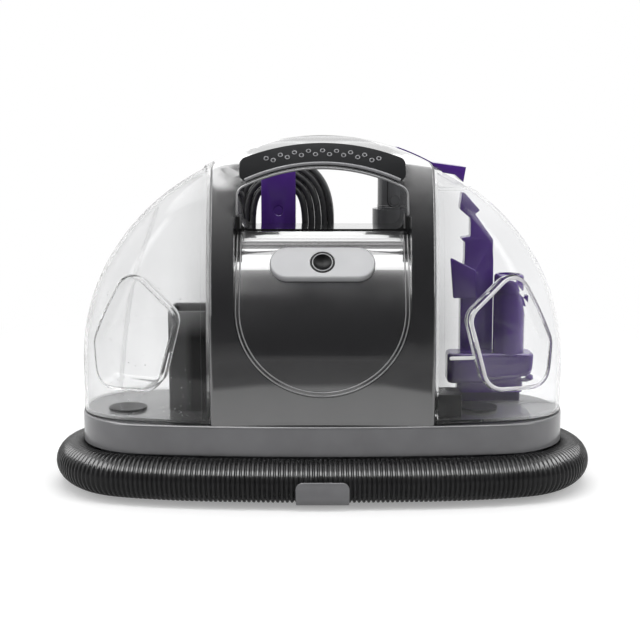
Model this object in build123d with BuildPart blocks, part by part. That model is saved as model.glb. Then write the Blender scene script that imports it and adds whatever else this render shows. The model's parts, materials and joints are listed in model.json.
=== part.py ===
from build123d import *
import os
from math import atan2, cos, degrees, pi, radians, sin, sqrt, tan

# Portable spot carpet cleaner. Millimetres, +Z up, front towards -Y, +X to the right as seen from the
# front. The origin is on the floor, under the middle of the machine.

os.makedirs("parts", exist_ok=True)

# Base
foot_h = 4.0
foot_r = 12.0
foot_edge = 1.0
foot_x = 150.0
foot_y = 26.0
base_half_x = 200.5
base_half_y = 73.0
base_end_r = 65.0
plinth_inset = 13.0
skirt_low = 38.0
deck_z = 62.0
deck_t = 4.0
wall = 3.0
plate_t = 4.0
plate_gap = 0.3
edge_round = 2.0

# Fasteners
screw_head_r = 4.0
screw_head_h = 2.0
screw_r = 2.0
screw_len = 16.0
screw_gap = 0.05
boss_r = 5.0
screw_end_inset = 28.5
screw_side_inset = 31.0
screw_side_x = 85.0
screw_end_x = base_half_x - screw_end_inset
screw_side_y = base_half_y - screw_side_inset
screw_sides = [(x, y) for x in (-screw_side_x, screw_side_x) for y in (screw_side_y, -screw_side_y)]
screw_spots = [(-screw_end_x, 0), *screw_sides, (screw_end_x, 0)]

# Tower
tower_half_x = 89.0
tower_front_y = 69.0
tower_rear_y = 58.0
tower_spring_z = 100.0
tower_edge = 3.0
handle_top_z = 289.0
crown_rise = 1.0
shoulder_drop = 23.0
tower_crown_z = handle_top_z + crown_rise
shoulder_z = handle_top_z - shoulder_drop
shoulder_round = 9.0
gap_half_x = 66.5
gap_low_z = 213.0
handle_h = 26.5
gap_arch = 16.0
gap_top_z = handle_top_z - handle_h
gap_end_z = gap_top_z - gap_arch
gap_round = 7.0
web = 3.0
pillar_top_z = 240.0
vent_count = 6
vent_w = 3.5
vent_h = 28.0
vent_pitch = 7.0
vent_x = 32.0
vent_z = 81.0

# Front panel and switch
panel_half_x = 69.5
panel_top_z = 212.0
panel_low_z = 85.0
panel_spring_z = 112.0
panel_roll_r = 120.0
panel_t = 3.0
panel_bed_t = 2.5
panel_gap = 0.4
panel_rim = 3.8
panel_groove_w = 0.8
panel_groove_t = 0.7
switch_z = 187.0
switch_w = 84.0
switch_h = 29.0
switch_proud = 4.5
switch_round = 1.5
switch_seat_gap = 0.1
button_r = 9.75
button_gap = 0.3
button_h = 7.0
dish_r = 14.0
dish_depth = 2.0
stem_r = 4.0
stem_room = 12.0
switch_body_w = 40.0
switch_body_h = 24.0
switch_body_t = 20.0

# Grip insert of the handle
grip_half_x = 66.0
grip_rim = 6.0
grip_t = 2.5
grip_proud = 0.6
grip_gap = 0.2

# Tanks
tank_half_x = 199.5
tank_half_y = 70.0
tank_spring_z = 104.0
tank_rise = 181.0
tank_end_share = 0.78
tank_depth_share = 0.96
tank_wall = 2.5
tank_gap = 0.4
tank_seat_gap = 0.2
flange_t = 6.5
flange_proud = 1.8
clean_back_y = 4.0
pocket_depth = 13.0
pocket_taper = 12.0
pocket_round = 11.0
pocket_edge = 4.0
pocket_turn = 20.0
pocket_middle = (152.0, 135.0)
pocket_points = [(3, 46), (-35, 12), (-20, -42), (26, -40), (31, -10)]
notch_half_y = 17.0
notch_z = shoulder_z - 19.0

# Tank latch
latch_pivot_x = 61.0
latch_t = 5.0
latch_sink = 4.0
latch_proud = 1.0
latch_half_y = 16.0
latch_gap = 0.3
latch_tip_x = 116.0
latch_tip_z = shoulder_z - 2.5
latch_tip_h = 12.0
latch_nose = 0.4
latch_lip = 2.0
latch_tip_t = 9.0
pin_len = 39.0
pin_room = 1.0
pin_r = 1.5
pin_gap = 0.05

# Clean tank fittings
nipple_y = -36.0
nipple_z = 74.0
nipple_r = 6.0
nipple_room = 2.0
nipple_flange = 3.0
nipple_reach = 16.0
valve_w = 20.0
valve_d = 30.0
valve_h = 18.5
fill_x = 129.0
fill_y = -20.0
cap_r = 13.5
cap_rim = 2.0
cap_slot_t = 1.5
cap_gap = 0.3

# Dirty tank fittings
stack_w = 34.0
stack_d = 50.0
stack_top_z = 148.0
stack_wall = 2.5
float_r = 12.0
float_h = 30.0
float_low_z = 68.0
float_round = 4.0
drain_x = -161.0
drain_y = -20.0

# Suction fan and motor
fan_y = -5.0
shroud_r = 54.0
shroud_h = 34.0
shroud_wall = 2.5
eye_r = 16.0
impeller_r = 46.0
impeller_h = 18.0
impeller_low_z = 70.0
blade_count = 9
blade_t = 2.0
blade_tip = 4.0
blade_lean = 30.0
shaft_r = 4.0
shaft_top_z = 160.0
motor_r = 38.0
motor_h = 58.0
motor_edge = 3.0
bearing_over = 2.0
pump_w = 24.0
pump_d = 38.0
pump_h = 44.0
pump_gap = 2.0
pump_round = 4.0
port_r = 4.0

# Hose, its socket and its clip
hose_r = 17.25
hose_z = 20.25
hose_gap = 2.2
socket_wall = 1.4
socket_len = 24.0
hose_fit = 0.1
clip_w = 42.0
clip_t = 1.6
clip_gap = 0.35
clip_top_z = 24.0
clip_round = 6.0
clip_back_y = -44.0
clip_foot_y = -57.0

# Wand
wand_x = 63.5
wand_y = 80.0
wand_foot_z = 98.0
hose_seat = 10.0
wand_foot_wall = 2.0
wand_foot_h = 14.0
wand_waist_r = 15.5
wand_waist_z = 124.0
collar_r = 19.0
collar_top_z = 223.5
collar_h = 26.0
neck_r = 14.5
neck_top_z = 252.0
neck_bore_r = 13.2
neck_edge = 0.6
release_z = 231.5
release_r = 4.0
release_gap = 0.3
release_proud = 0.8
release_sink = 1.2
trigger_w = 9.0
trigger_top_z = 198.0
trigger_low_z = 150.0
trigger_gap = 0.5
trigger_proud = 2.0
trigger_t = 9.0
trigger_round = 1.5
trigger_pin_y = wand_y + 9.5
trigger_pin_z = trigger_top_z - 6.0
trigger_pin_len = 26.0
wand_clip_z = 128.0
wand_clip_h = 12.0
wand_clip_t = 2.5
wand_clip_gap = 0.3

# Cord, its post and its hooks
cord_d = 5.6
cord_pitch = 5.7
cord_columns = 5
cord_layers = 2
post_x = -38.2
post_w = 30.0
post_t = 5.5
post_low_z = 64.0
post_top_z = 268.0
coil_inner_r = 20.2
coil_low_z = 115.0
coil_high_z = 223.0
hub_gap = 0.7
hub_bore_r = 4.0
post_gap = 0.2
post_round = 5.0
coil_gap = 1.3
lip_round = 6.0
lip_w = 26.0
lip_t = 3.5
lip_reach = 54.0
relief_h = 15.0
relief_r = 5.0
relief_wall = 0.8
gland_gap = 1.0
gland_h = 8.0
gland_w = 14.0
gland_rim = 6.0
plug_w = 20.0
plug_d = 13.0
plug_h = 28.0
plug_neck_w = 11.0
plug_neck_d = 9.0
prong_w = 6.3
prong_t = 1.5
prong_h = 13.0
prong_pitch = 12.7

# Tools stored behind the clean tank
tool_seat_gap = 0.2
brush_x = 144.0
brush_y = 30.0
bristle_h = 8.0
bristle_inset = 4.0
brush_foot_w = 56.5
brush_foot_d = 24.0
brush_mouth_w = 74.0
brush_mouth_d = 27.0
brush_mouth_low_z = 78.0
brush_mouth_top_z = 104.0
brush_mouth_round = 6.0
brush_mouth_edge = 3.0
brush_neck_x = 160.0
brush_neck_r = 13.4
brush_neck_top_z = 155.0
brush_waist_r = 11.0
brush_spigot_r = 13.0
brush_spigot_z = 158.0
brush_top_z = 171.5
brush_bore_r = 9.5
brush_bore_h = 40.0
brush_tab_w = 3.0
brush_tab_d = 8.0
brush_tab_h = 9.0
brush_tab_z = 149.0
slim_x = 130.0
slim_y = 54.5
slim_d = 15.0
slim_round = 1.2
slim_outline = [
    (121.0, 105.0),
    (120.3, 146.2),
    (123.4, 182.0),
    (123.4, 196.3),
    (119.0, 200.0),
    (128.1, 201.5),
    (128.1, 217.9),
    (118.9, 225.1),
    (121.8, 243.3),
    (136.9, 225.1),
    (132.5, 221.5),
    (148.2, 199.5),
    (148.9, 105.0),
]
slim_wing = [(110.8, 183.4), (132.7, 172.1), (134.0, 147.8), (113.8, 147.8)]
slim_wing_t = 5.0
slim_wing_proud = 1.5
peg_r = 5.0
peg_h = 14.0
peg_edge = 1.0
peg_gap = 0.3
peg_room = 2.0


def save(piece, name):
    """Labels a finished piece and writes it to its own file."""
    piece.part.label = name
    export_step(piece.part, "parts/" + name + ".step")


def oval_face(half_x, half_y, end_r):
    """Fills an oval of four tangent arcs in the sketch that is open."""
    side_r = ((half_x - end_r) ** 2 + half_y**2 - end_r**2) / (2 * (half_y - end_r))
    lean = degrees(atan2(half_x - end_r, side_r - half_y))
    with BuildLine(Plane.XY, mode=Mode.PRIVATE) as rim:
        CenterArc((0, half_y - side_r), side_r, 90 - lean, 2 * lean)
        CenterArc((end_r - half_x, 0), end_r, 90 + lean, 180 - 2 * lean)
        CenterArc((0, side_r - half_y), side_r, 270 - lean, 2 * lean)
        CenterArc((half_x - end_r, 0), end_r, 270 + lean, 180 - 2 * lean)
    make_face(rim.edges())


def base_oval(inset):
    """Fills the base's plan, drawn in by inset."""
    oval_face(base_half_x - inset, base_half_y - inset, base_end_r - inset)


# Base tray: a plinth under an overhanging skirt, closed by a deck and open below
with BuildPart() as base_tray:
    with BuildSketch(Plane.XY.offset(foot_h)):
        base_oval(plinth_inset)
    extrude(amount=deck_z - foot_h)
    with BuildSketch(Plane.XY.offset(skirt_low)):
        base_oval(0)
    extrude(amount=deck_z - skirt_low)
    rims = base_tray.edges().filter_by(lambda e: abs(e.center().Z - deck_z) < 0.01)
    fillet(rims, edge_round)
    with BuildSketch(Plane.XY.offset(foot_h)):
        base_oval(plinth_inset + wall)
    extrude(amount=deck_z - deck_t - foot_h, mode=Mode.SUBTRACT)
    with BuildSketch(Plane.XY.offset(skirt_low + wall)):
        base_oval(wall)
    extrude(amount=deck_z - deck_t - skirt_low - wall, mode=Mode.SUBTRACT)
    with BuildSketch(Plane.XY.offset(foot_h + plate_t)):
        with Locations(*screw_spots):
            Circle(boss_r)
    extrude(amount=deck_z - foot_h - plate_t)
    with BuildSketch(Plane.XY.offset(foot_h + plate_t)):
        with Locations(*screw_spots):
            Circle(screw_r + screw_gap)
    extrude(amount=screw_len, mode=Mode.SUBTRACT)
save(base_tray, "base_tray")

# Base plate: the flat cover screwed under the tray
with BuildPart() as base_plate:
    with BuildSketch(Plane.XY.offset(foot_h)):
        base_oval(plinth_inset + wall + plate_gap)
    extrude(amount=plate_t)
    with Locations(*[Location((x, y, foot_h), (180, 0, 0)) for x, y in screw_spots]):
        CounterBoreHole(
            screw_r + 4 * screw_gap, screw_head_r + 4 * screw_gap, screw_head_h, depth=plate_t
        )
save(base_plate, "base_plate")

# Rubber feet
foot_spots = [(x, y) for x in (-foot_x, foot_x) for y in (-foot_y, foot_y)]
with BuildPart() as rubber_feet:
    with BuildSketch():
        with Locations(*foot_spots):
            Circle(foot_r)
    extrude(amount=foot_h)
    chamfer(rubber_feet.edges().group_by(Axis.Z)[0], foot_edge)
save(rubber_feet, "rubber_feet")

# Base screws
with BuildPart() as base_screws:
    with BuildSketch(Plane.XY.offset(foot_h)):
        with Locations(*screw_spots):
            Circle(screw_head_r)
    extrude(amount=screw_head_h)
    with BuildSketch(Plane.XY.offset(foot_h + screw_head_h)):
        with Locations(*screw_spots):
            Circle(screw_r)
    extrude(amount=screw_len)
save(base_screws, "base_screws")


# Tower: the crossing of a front outline and a side outline
def side_face(inset):
    """Fills the tower's side outline, deeper in front than behind, drawn in by inset."""
    rise = tower_crown_z - tower_spring_z - inset
    front = tower_front_y - inset
    rear = tower_rear_y - inset
    with BuildLine(Plane.XY, mode=Mode.PRIVATE) as rim:
        EllipticalCenterArc((0, tower_spring_z), rear, rise, 0, arc_size=90)
        EllipticalCenterArc((0, tower_spring_z), front, rise, 90, arc_size=90)
        Polyline(
            (-front, tower_spring_z), (-front, deck_z), (rear, deck_z), (rear, tower_spring_z)
        )
    make_face(rim.edges())


def gap_face(grow):
    """Fills the outline of the hand gap under the handle, grown by grow."""
    half_x = gap_half_x + grow
    with BuildLine(Plane.XY, mode=Mode.PRIVATE) as rim:
        Polyline(
            (-half_x, gap_end_z + grow),
            (-half_x, gap_low_z - grow),
            (half_x, gap_low_z - grow),
            (half_x, gap_end_z + grow),
        )
        ThreePointArc(
            (-half_x, gap_end_z + grow), (0, gap_top_z + grow), (half_x, gap_end_z + grow)
        )
        # The round of the corners is limited by the height of the gap's side walls.
        fillet(rim.vertices(), min(gap_round, 0.48 * (gap_end_z - gap_low_z)) + grow)
    make_face(rim.edges())


with BuildPart() as tower:
    with BuildSketch(Plane.XZ):
        with BuildLine() as outline:
            Polyline(
                (-tower_half_x, shoulder_z),
                (-tower_half_x, deck_z),
                (tower_half_x, deck_z),
                (tower_half_x, shoulder_z),
            )
            ThreePointArc((-tower_half_x, shoulder_z), (0, handle_top_z), (tower_half_x, shoulder_z))
            fillet(outline.vertices().group_by(Axis.Y)[-1], shoulder_round)
        make_face()
    extrude(amount=tower_front_y + tower_rear_y, both=True)
    with BuildSketch(Plane.YZ):
        side_face(0)
    extrude(amount=2 * tower_half_x, both=True, mode=Mode.INTERSECT)
    corners = tower.edges().filter_by(
        lambda e: abs(abs(e.center().X) - tower_half_x) < 0.01 and e.center().Z > deck_z + tower_edge
    )
    fillet(corners, tower_edge)
    with BuildSketch(Plane.XZ):
        gap_face(0)
    extrude(amount=tower_front_y + tower_rear_y, both=True, mode=Mode.SUBTRACT)

# The front panel's face is upright at its foot and rolls back above panel_spring_z.
roll_y = panel_roll_r - tower_front_y


def roll_point(depth, z):
    """A point of the panel's roll, depth below its face, at height z."""
    return (roll_y - sqrt((panel_roll_r - depth) ** 2 - (z - panel_spring_z) ** 2), z)


def panel_face(grow):
    """Fills the panel's shield outline, square above and half round below, grown by grow."""
    half_x = panel_half_x + grow
    middle_z = panel_low_z + panel_half_x
    with BuildLine(Plane.XY, mode=Mode.PRIVATE) as rim:
        Polyline(
            (-half_x, middle_z), (-half_x, panel_top_z), (half_x, panel_top_z), (half_x, middle_z)
        )
        CenterArc((0, middle_z), half_x, 180, 180)
    make_face(rim.edges())


def roll_face(depth, back_depth, low_z):
    """Fills the side view of the panel between two depths below its face, from low_z up."""
    front_y = depth - tower_front_y
    back_y = back_depth - tower_front_y
    half_z = (panel_spring_z + panel_top_z) / 2
    with BuildLine(Plane.XY, mode=Mode.PRIVATE) as rim:
        Line((front_y, low_z), (front_y, panel_spring_z))
        ThreePointArc(
            (front_y, panel_spring_z), roll_point(depth, half_z), roll_point(depth, panel_top_z)
        )
        Line(roll_point(depth, panel_top_z), roll_point(back_depth, panel_top_z))
        ThreePointArc(
            roll_point(back_depth, panel_top_z),
            roll_point(back_depth, half_z),
            (back_y, panel_spring_z),
        )
        Polyline((back_y, panel_spring_z), (back_y, low_z), (front_y, low_z))
    make_face(rim.edges())


# Space inside the tower: one room in the middle and one in each pillar
room_half_x = panel_half_x - web
room_top_z = gap_low_z - wall
with BuildPart() as middle_room:
    with BuildSketch(Plane.YZ):
        side_face(wall)
    extrude(amount=room_half_x, both=True)
    with BuildSketch(Plane.YZ):
        back = panel_t + panel_bed_t
        with BuildLine():
            Line((back - tower_front_y, deck_z), (back - tower_front_y, panel_spring_z))
            ThreePointArc(
                (back - tower_front_y, panel_spring_z),
                roll_point(back, (panel_spring_z + room_top_z) / 2),
                roll_point(back, room_top_z),
            )
            Polyline(
                roll_point(back, room_top_z),
                (tower_rear_y, room_top_z),
                (tower_rear_y, deck_z),
                (back - tower_front_y, deck_z),
            )
        make_face()
    extrude(amount=room_half_x, both=True, mode=Mode.INTERSECT)

pillar_inner_x = panel_half_x + panel_gap + web
pillar_w = tower_half_x - wall - pillar_inner_x
with BuildPart() as pillar_rooms:
    for side in (-1, 1):
        with BuildSketch(Plane.YZ.offset(side * (pillar_inner_x + pillar_w / 2))):
            side_face(wall)
        extrude(amount=pillar_w / 2, both=True)
    with BuildSketch(Plane.XY.offset(pillar_top_z)):
        Rectangle(4 * tower_half_x, 4 * tower_front_y)
    extrude(amount=tower_crown_z - pillar_top_z, mode=Mode.SUBTRACT)

# Bed of the front panel: everything in front of the panel's back
with BuildPart() as panel_bed:
    with BuildSketch(Plane.XZ):
        panel_face(panel_gap)
    extrude(amount=2 * tower_front_y)
    with BuildSketch(Plane.XZ):
        with Locations((0, panel_top_z + gap_round)):
            Rectangle(2 * (panel_half_x + panel_gap), 2 * gap_round)
    extrude(amount=2 * tower_front_y)
    with BuildSketch(Plane.YZ):
        with BuildLine():
            top = roll_point(panel_t, panel_top_z)
            Polyline(
                (panel_t - tower_front_y, panel_spring_z),
                (panel_t - tower_front_y, 0),
                (-3 * tower_front_y, 0),
                (-3 * tower_front_y, panel_top_z + 2 * gap_round),
                (top[0], panel_top_z + 2 * gap_round),
                top,
            )
            ThreePointArc(
                top,
                roll_point(panel_t, (panel_spring_z + panel_top_z) / 2),
                (panel_t - tower_front_y, panel_spring_z),
            )
        make_face()
    extrude(amount=2 * panel_half_x, both=True, mode=Mode.INTERSECT)

# Frame of the switch: on the panel's face, looking straight out of it
switch_point = roll_point(0, switch_z)
switch_out = Vector(0, switch_point[0] - roll_y, switch_z - panel_spring_z).normalized()
switch_plane = Plane(
    origin=(0, switch_point[0], switch_z), x_dir=(1, 0, 0), z_dir=tuple(switch_out)
)
bed_sag = (switch_h / 2) ** 2 / (2 * panel_roll_r)


# Bed of the grip insert, on the front of the handle
def grip_face(shrink):
    """Fills the grip insert's outline between the handle's top and the hand gap, drawn in by shrink."""
    half_x = grip_half_x - shrink
    arch_r = (tower_half_x**2 + (handle_top_z - shoulder_z) ** 2) / (2 * (handle_top_z - shoulder_z))
    arch_z = handle_top_z - arch_r
    outer_r = arch_r - grip_rim - shrink
    under_r = (gap_half_x**2 + (gap_top_z - gap_end_z) ** 2) / (2 * (gap_top_z - gap_end_z))
    under_z = gap_top_z - under_r
    inner_r = under_r + grip_rim / 2 + shrink
    ends = [
        (half_x, arch_z + sqrt(outer_r**2 - half_x**2)),
        (half_x, under_z + sqrt(inner_r**2 - half_x**2)),
    ]
    with BuildLine(Plane.XY, mode=Mode.PRIVATE) as rim:
        ThreePointArc((-ends[0][0], ends[0][1]), (0, arch_z + outer_r), ends[0])
        Line(ends[0], ends[1])
        ThreePointArc(ends[1], (0, under_z + inner_r), (-ends[1][0], ends[1][1]))
        Line((-ends[1][0], ends[1][1]), (-ends[0][0], ends[0][1]))
        fillet(rim.vertices(), grip_rim)
    make_face(rim.edges())


with BuildPart() as grip_bed:
    with BuildSketch(Plane.XZ):
        grip_face(0)
    extrude(amount=2 * tower_front_y)
    with BuildSketch(Plane.YZ):
        side_face(grip_t)
    extrude(amount=2 * tower_half_x, both=True, mode=Mode.SUBTRACT)

# Bed of the tank latch, in the right shoulder
arch_r = (tower_half_x**2 + (handle_top_z - shoulder_z) ** 2) / (2 * (handle_top_z - shoulder_z))
arch_z = handle_top_z - arch_r


def arch_point(x, depth):
    """A point of the tower's top arch at x, depth below its crown line."""
    return (x, arch_z + sqrt((arch_r - depth) ** 2 - x**2))


latch_pivot_z = arch_point(latch_pivot_x, latch_sink / 2)[1]
latch_nose_r = latch_t / 2 + latch_nose
with BuildPart() as latch_bed:
    with BuildSketch(Plane.XZ):
        with BuildLine():
            near_x = latch_pivot_x
            far_x = tower_half_x + tank_gap
            floor = latch_sink / 2 + latch_nose_r + latch_gap
            ThreePointArc(
                arch_point(near_x, floor),
                arch_point((near_x + far_x) / 2, floor),
                arch_point(far_x, floor),
            )
            Polyline(
                arch_point(far_x, floor),
                (far_x, tower_crown_z),
                (near_x, tower_crown_z),
                arch_point(near_x, floor),
            )
        make_face()
        with Locations((latch_pivot_x, latch_pivot_z)):
            Circle(latch_nose_r + latch_gap)
    extrude(amount=latch_half_y + latch_gap, both=True)

# Front and rear housings: the two halves of the tower
with BuildPart() as front_housing:
    add(tower.part)
    add(middle_room.part, mode=Mode.SUBTRACT)
    add(pillar_rooms.part, mode=Mode.SUBTRACT)
    add(panel_bed.part, mode=Mode.SUBTRACT)
    add(grip_bed.part, mode=Mode.SUBTRACT)
    add(latch_bed.part, mode=Mode.SUBTRACT)
    with BuildSketch(switch_plane):
        Circle(button_r + 2 * button_gap)
    extrude(amount=-panel_roll_r / 2, mode=Mode.SUBTRACT)
    with Locations(Location((latch_pivot_x, 0, latch_pivot_z), (90, 0, 0))):
        Cylinder(pin_r + pin_gap / 2, pin_len + pin_room, mode=Mode.SUBTRACT)
    with Locations(Location((tower_half_x - wall / 2, nipple_y, nipple_z), (0, 90, 0))):
        Cylinder(nipple_r + pin_gap, 2 * wall, mode=Mode.SUBTRACT)
    split(bisect_by=Plane.XZ, keep=Keep.TOP)
save(front_housing, "front_housing")

with BuildPart() as rear_housing:
    add(tower.part)
    add(middle_room.part, mode=Mode.SUBTRACT)
    add(pillar_rooms.part, mode=Mode.SUBTRACT)
    add(latch_bed.part, mode=Mode.SUBTRACT)
    with Locations(Location((latch_pivot_x, 0, latch_pivot_z), (90, 0, 0))):
        Cylinder(pin_r + pin_gap / 2, pin_len + pin_room, mode=Mode.SUBTRACT)
    with BuildSketch(Plane.XZ):
        with Locations((vent_x, vent_z)):
            with GridLocations(vent_pitch, 0, vent_count, 1):
                SlotOverall(vent_h, vent_w, rotation=90)
    extrude(amount=-2 * tower_rear_y, mode=Mode.SUBTRACT)
    split(bisect_by=Plane.XZ, keep=Keep.BOTTOM)
save(rear_housing, "rear_housing")

# Groove inside the front panel's rim
with BuildPart() as rim_groove:
    with BuildSketch(Plane.XZ):
        panel_face(-panel_rim)
    extrude(amount=2 * tower_front_y)
    with BuildSketch(Plane.XZ):
        panel_face(-panel_rim - panel_groove_w)
    extrude(amount=2 * tower_front_y, mode=Mode.SUBTRACT)
    with BuildSketch(Plane.YZ):
        roll_face(-panel_groove_t, panel_groove_t, panel_low_z)
    extrude(amount=2 * panel_half_x, both=True, mode=Mode.INTERSECT)

# Front panel
with BuildPart() as front_panel:
    with BuildSketch(Plane.XZ):
        panel_face(0)
    extrude(amount=2 * tower_front_y)
    with BuildSketch(Plane.YZ):
        roll_face(0, panel_t, panel_low_z)
    extrude(amount=2 * panel_half_x, both=True, mode=Mode.INTERSECT)
    with BuildSketch(switch_plane):
        SlotOverall(switch_w + 2 * panel_gap, switch_h + 2 * panel_gap)
    extrude(amount=panel_roll_r / 4, both=True, mode=Mode.SUBTRACT)
    add(rim_groove.part, mode=Mode.SUBTRACT)
save(front_panel, "front_panel")

# Switch plate, sunk through the panel onto its bed
with BuildPart() as switch_plate:
    with BuildSketch(switch_plane.offset(-panel_t + switch_seat_gap)):
        SlotOverall(switch_w, switch_h)
        Circle(button_r + button_gap, mode=Mode.SUBTRACT)
    extrude(amount=switch_proud + panel_t - switch_seat_gap)
    plate_top = switch_plate.faces().sort_by(Axis(switch_plane.origin, switch_plane.z_dir))[-1]
    fillet(plate_top.outer_wire().edges(), switch_round)
save(switch_plate, "switch_plate")

# Power button: a dished cap on a stem
with BuildPart() as power_button:
    with BuildSketch(switch_plane.offset(switch_proud - button_h)):
        Circle(button_r)
    extrude(amount=button_h)
    with Locations(switch_plane.offset(switch_proud + dish_r - dish_depth)):
        Sphere(dish_r, mode=Mode.SUBTRACT)
    with BuildSketch(switch_plane.offset(switch_proud - button_h)):
        Circle(stem_r)
    extrude(amount=-button_h)
save(power_button, "power_button")

# Switch body, behind the bed
with BuildPart() as switch_body:
    with BuildSketch(switch_plane.offset(-panel_t - panel_bed_t - bed_sag)):
        RectangleRounded(switch_body_w, switch_body_h, edge_round)
    extrude(amount=-switch_body_t)
    with BuildSketch(switch_plane):
        Circle(stem_r + button_gap)
    extrude(amount=-panel_t - panel_bed_t - bed_sag - stem_room, mode=Mode.SUBTRACT)
save(switch_body, "switch_body")

# Grip insert on the front of the handle
with BuildPart() as handle_grip:
    with BuildSketch(Plane.XZ):
        grip_face(grip_gap)
    extrude(amount=2 * tower_front_y)
    with BuildSketch(Plane.YZ):
        side_face(-grip_proud)
    extrude(amount=2 * tower_half_x, both=True, mode=Mode.INTERSECT)
    with BuildSketch(Plane.YZ):
        side_face(grip_t - grip_gap)
    extrude(amount=2 * tower_half_x, both=True, mode=Mode.SUBTRACT)
save(handle_grip, "handle_grip")

# Tanks: a lofted dome, cut flat beside the tower
dome_steps = [0.0, 0.3, 0.52, 0.7, 0.82, 0.91]


def dome(inset, low_z):
    """The dome of the tanks, drawn in by inset, from low_z up past the shoulder."""
    rise = tank_rise - inset
    heights = [low_z] + [tank_spring_z + step * rise for step in dome_steps]
    with BuildPart() as form:
        for z in heights:
            over = max(0, z - tank_spring_z) / rise
            half_x = (tank_half_x - inset) * sqrt(1 - over**2)
            half_y = (tank_half_y - inset) * sqrt(1 - (tank_depth_share * over) ** 2)
            with BuildSketch(Plane.XY.offset(z)):
                oval_face(half_x, half_y, tank_end_share * half_y)
        loft()
    return form.part


tank_low_z = deck_z + tank_seat_gap
tank_near_x = tower_half_x + tank_gap
tank_outer = dome(0, tank_low_z)
tank_inner = dome(tank_wall, tank_low_z + tank_wall)
tank_rim = dome(-flange_proud, tank_low_z)

# Finger pocket: a tapered recess, turned to face the side of the dome that it is cut in
pocket_y = -sqrt(1 - (pocket_middle[0] / tank_half_x) ** 2) * tank_half_y
pocket_out = Vector(sin(radians(pocket_turn)), -cos(radians(pocket_turn)), 0)
pocket_floor = Plane(
    origin=Vector(pocket_middle[0], pocket_y, pocket_middle[1]) - pocket_out * pocket_depth,
    x_dir=(cos(radians(pocket_turn)), sin(radians(pocket_turn)), 0),
    z_dir=tuple(pocket_out),
)


def pocket(grow):
    """The finger pocket's space, grown by grow on every side."""
    with BuildPart() as form:
        with BuildSketch(pocket_floor.offset(-grow)):
            with BuildLine() as rim:
                Polyline(*pocket_points, close=True)
                fillet(rim.vertices(), pocket_round)
            make_face()
            if grow:
                offset(amount=grow)
        extrude(amount=4 * pocket_depth, taper=-pocket_taper)
        floor_face = form.faces().sort_by(Axis(pocket_floor.origin, pocket_floor.z_dir))[0]
        fillet(floor_face.edges(), pocket_edge + grow)
    return form.part


pocket_cut = pocket(0)
pocket_wall = pocket(tank_wall)


def tank_space(back_y, notch):
    """Space inside a right-hand tank that reaches back to back_y."""
    with BuildPart() as form:
        add(tank_inner)
        split(bisect_by=Plane.YZ.offset(tank_near_x + tank_wall), keep=Keep.TOP)
        split(bisect_by=Plane.XZ.offset(-back_y), keep=Keep.TOP)
        add(pocket_wall, mode=Mode.SUBTRACT)
        if notch:
            with BuildSketch(Plane.XY.offset(notch_z - tank_wall)):
                Rectangle(4 * tank_half_x, 2 * (notch_half_y + tank_wall))
            extrude(amount=tank_rise, mode=Mode.SUBTRACT)
    return form.part


def tank_shell(back_y, notch):
    """A right-hand tank: thin dome, flange beside the tower, finger pocket and flat back at back_y."""
    space = tank_space(back_y - tank_wall, notch)
    with BuildPart() as form:
        add(tank_outer)
        split(bisect_by=Plane.YZ.offset(tank_near_x + flange_t / 2), keep=Keep.TOP)
        add(flange)
        split(bisect_by=Plane.XZ.offset(-back_y), keep=Keep.TOP)
        add(pocket_cut, mode=Mode.SUBTRACT)
        if notch:
            with BuildSketch(Plane.XY.offset(notch_z)):
                Rectangle(4 * tank_half_x, 2 * notch_half_y)
            extrude(amount=tank_rise, mode=Mode.SUBTRACT)
        add(space, mode=Mode.SUBTRACT)
    return form.part


with BuildPart() as rim_slice:
    add(tank_rim)
    split(bisect_by=Plane.YZ.offset(tank_near_x), keep=Keep.TOP)
    split(bisect_by=Plane.YZ.offset(tank_near_x + flange_t), keep=Keep.BOTTOM)
flange = rim_slice.part

# Clean tank, in front of the tools
clean_form = tank_shell(clean_back_y, True)
nipple_axis = Location((tank_near_x, nipple_y, nipple_z), (0, 90, 0))
with BuildPart() as clean_tank:
    add(clean_form)
    with Locations(nipple_axis):
        Cylinder(nipple_r + nipple_room, 3 * tank_wall, mode=Mode.SUBTRACT)
    with BuildSketch(Plane.XY.offset(tank_low_z)):
        with Locations((fill_x, fill_y)):
            Circle(cap_r + cap_gap)
    extrude(amount=2 * tank_wall, mode=Mode.SUBTRACT)
save(clean_tank, "clean_tank")

# Dirty tank: the full depth of the machine
dirty_form = tank_shell(tank_half_y + 3 * tank_wall, False)
with BuildPart() as dirty_tank:
    add(mirror(dirty_form, about=Plane.YZ, mode=Mode.PRIVATE))
    with BuildSketch(Plane.XY.offset(tank_low_z)):
        with Locations((drain_x, drain_y)):
            Circle(cap_r + cap_gap)
    extrude(amount=2 * tank_wall, mode=Mode.SUBTRACT)
save(dirty_tank, "dirty_tank")

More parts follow.
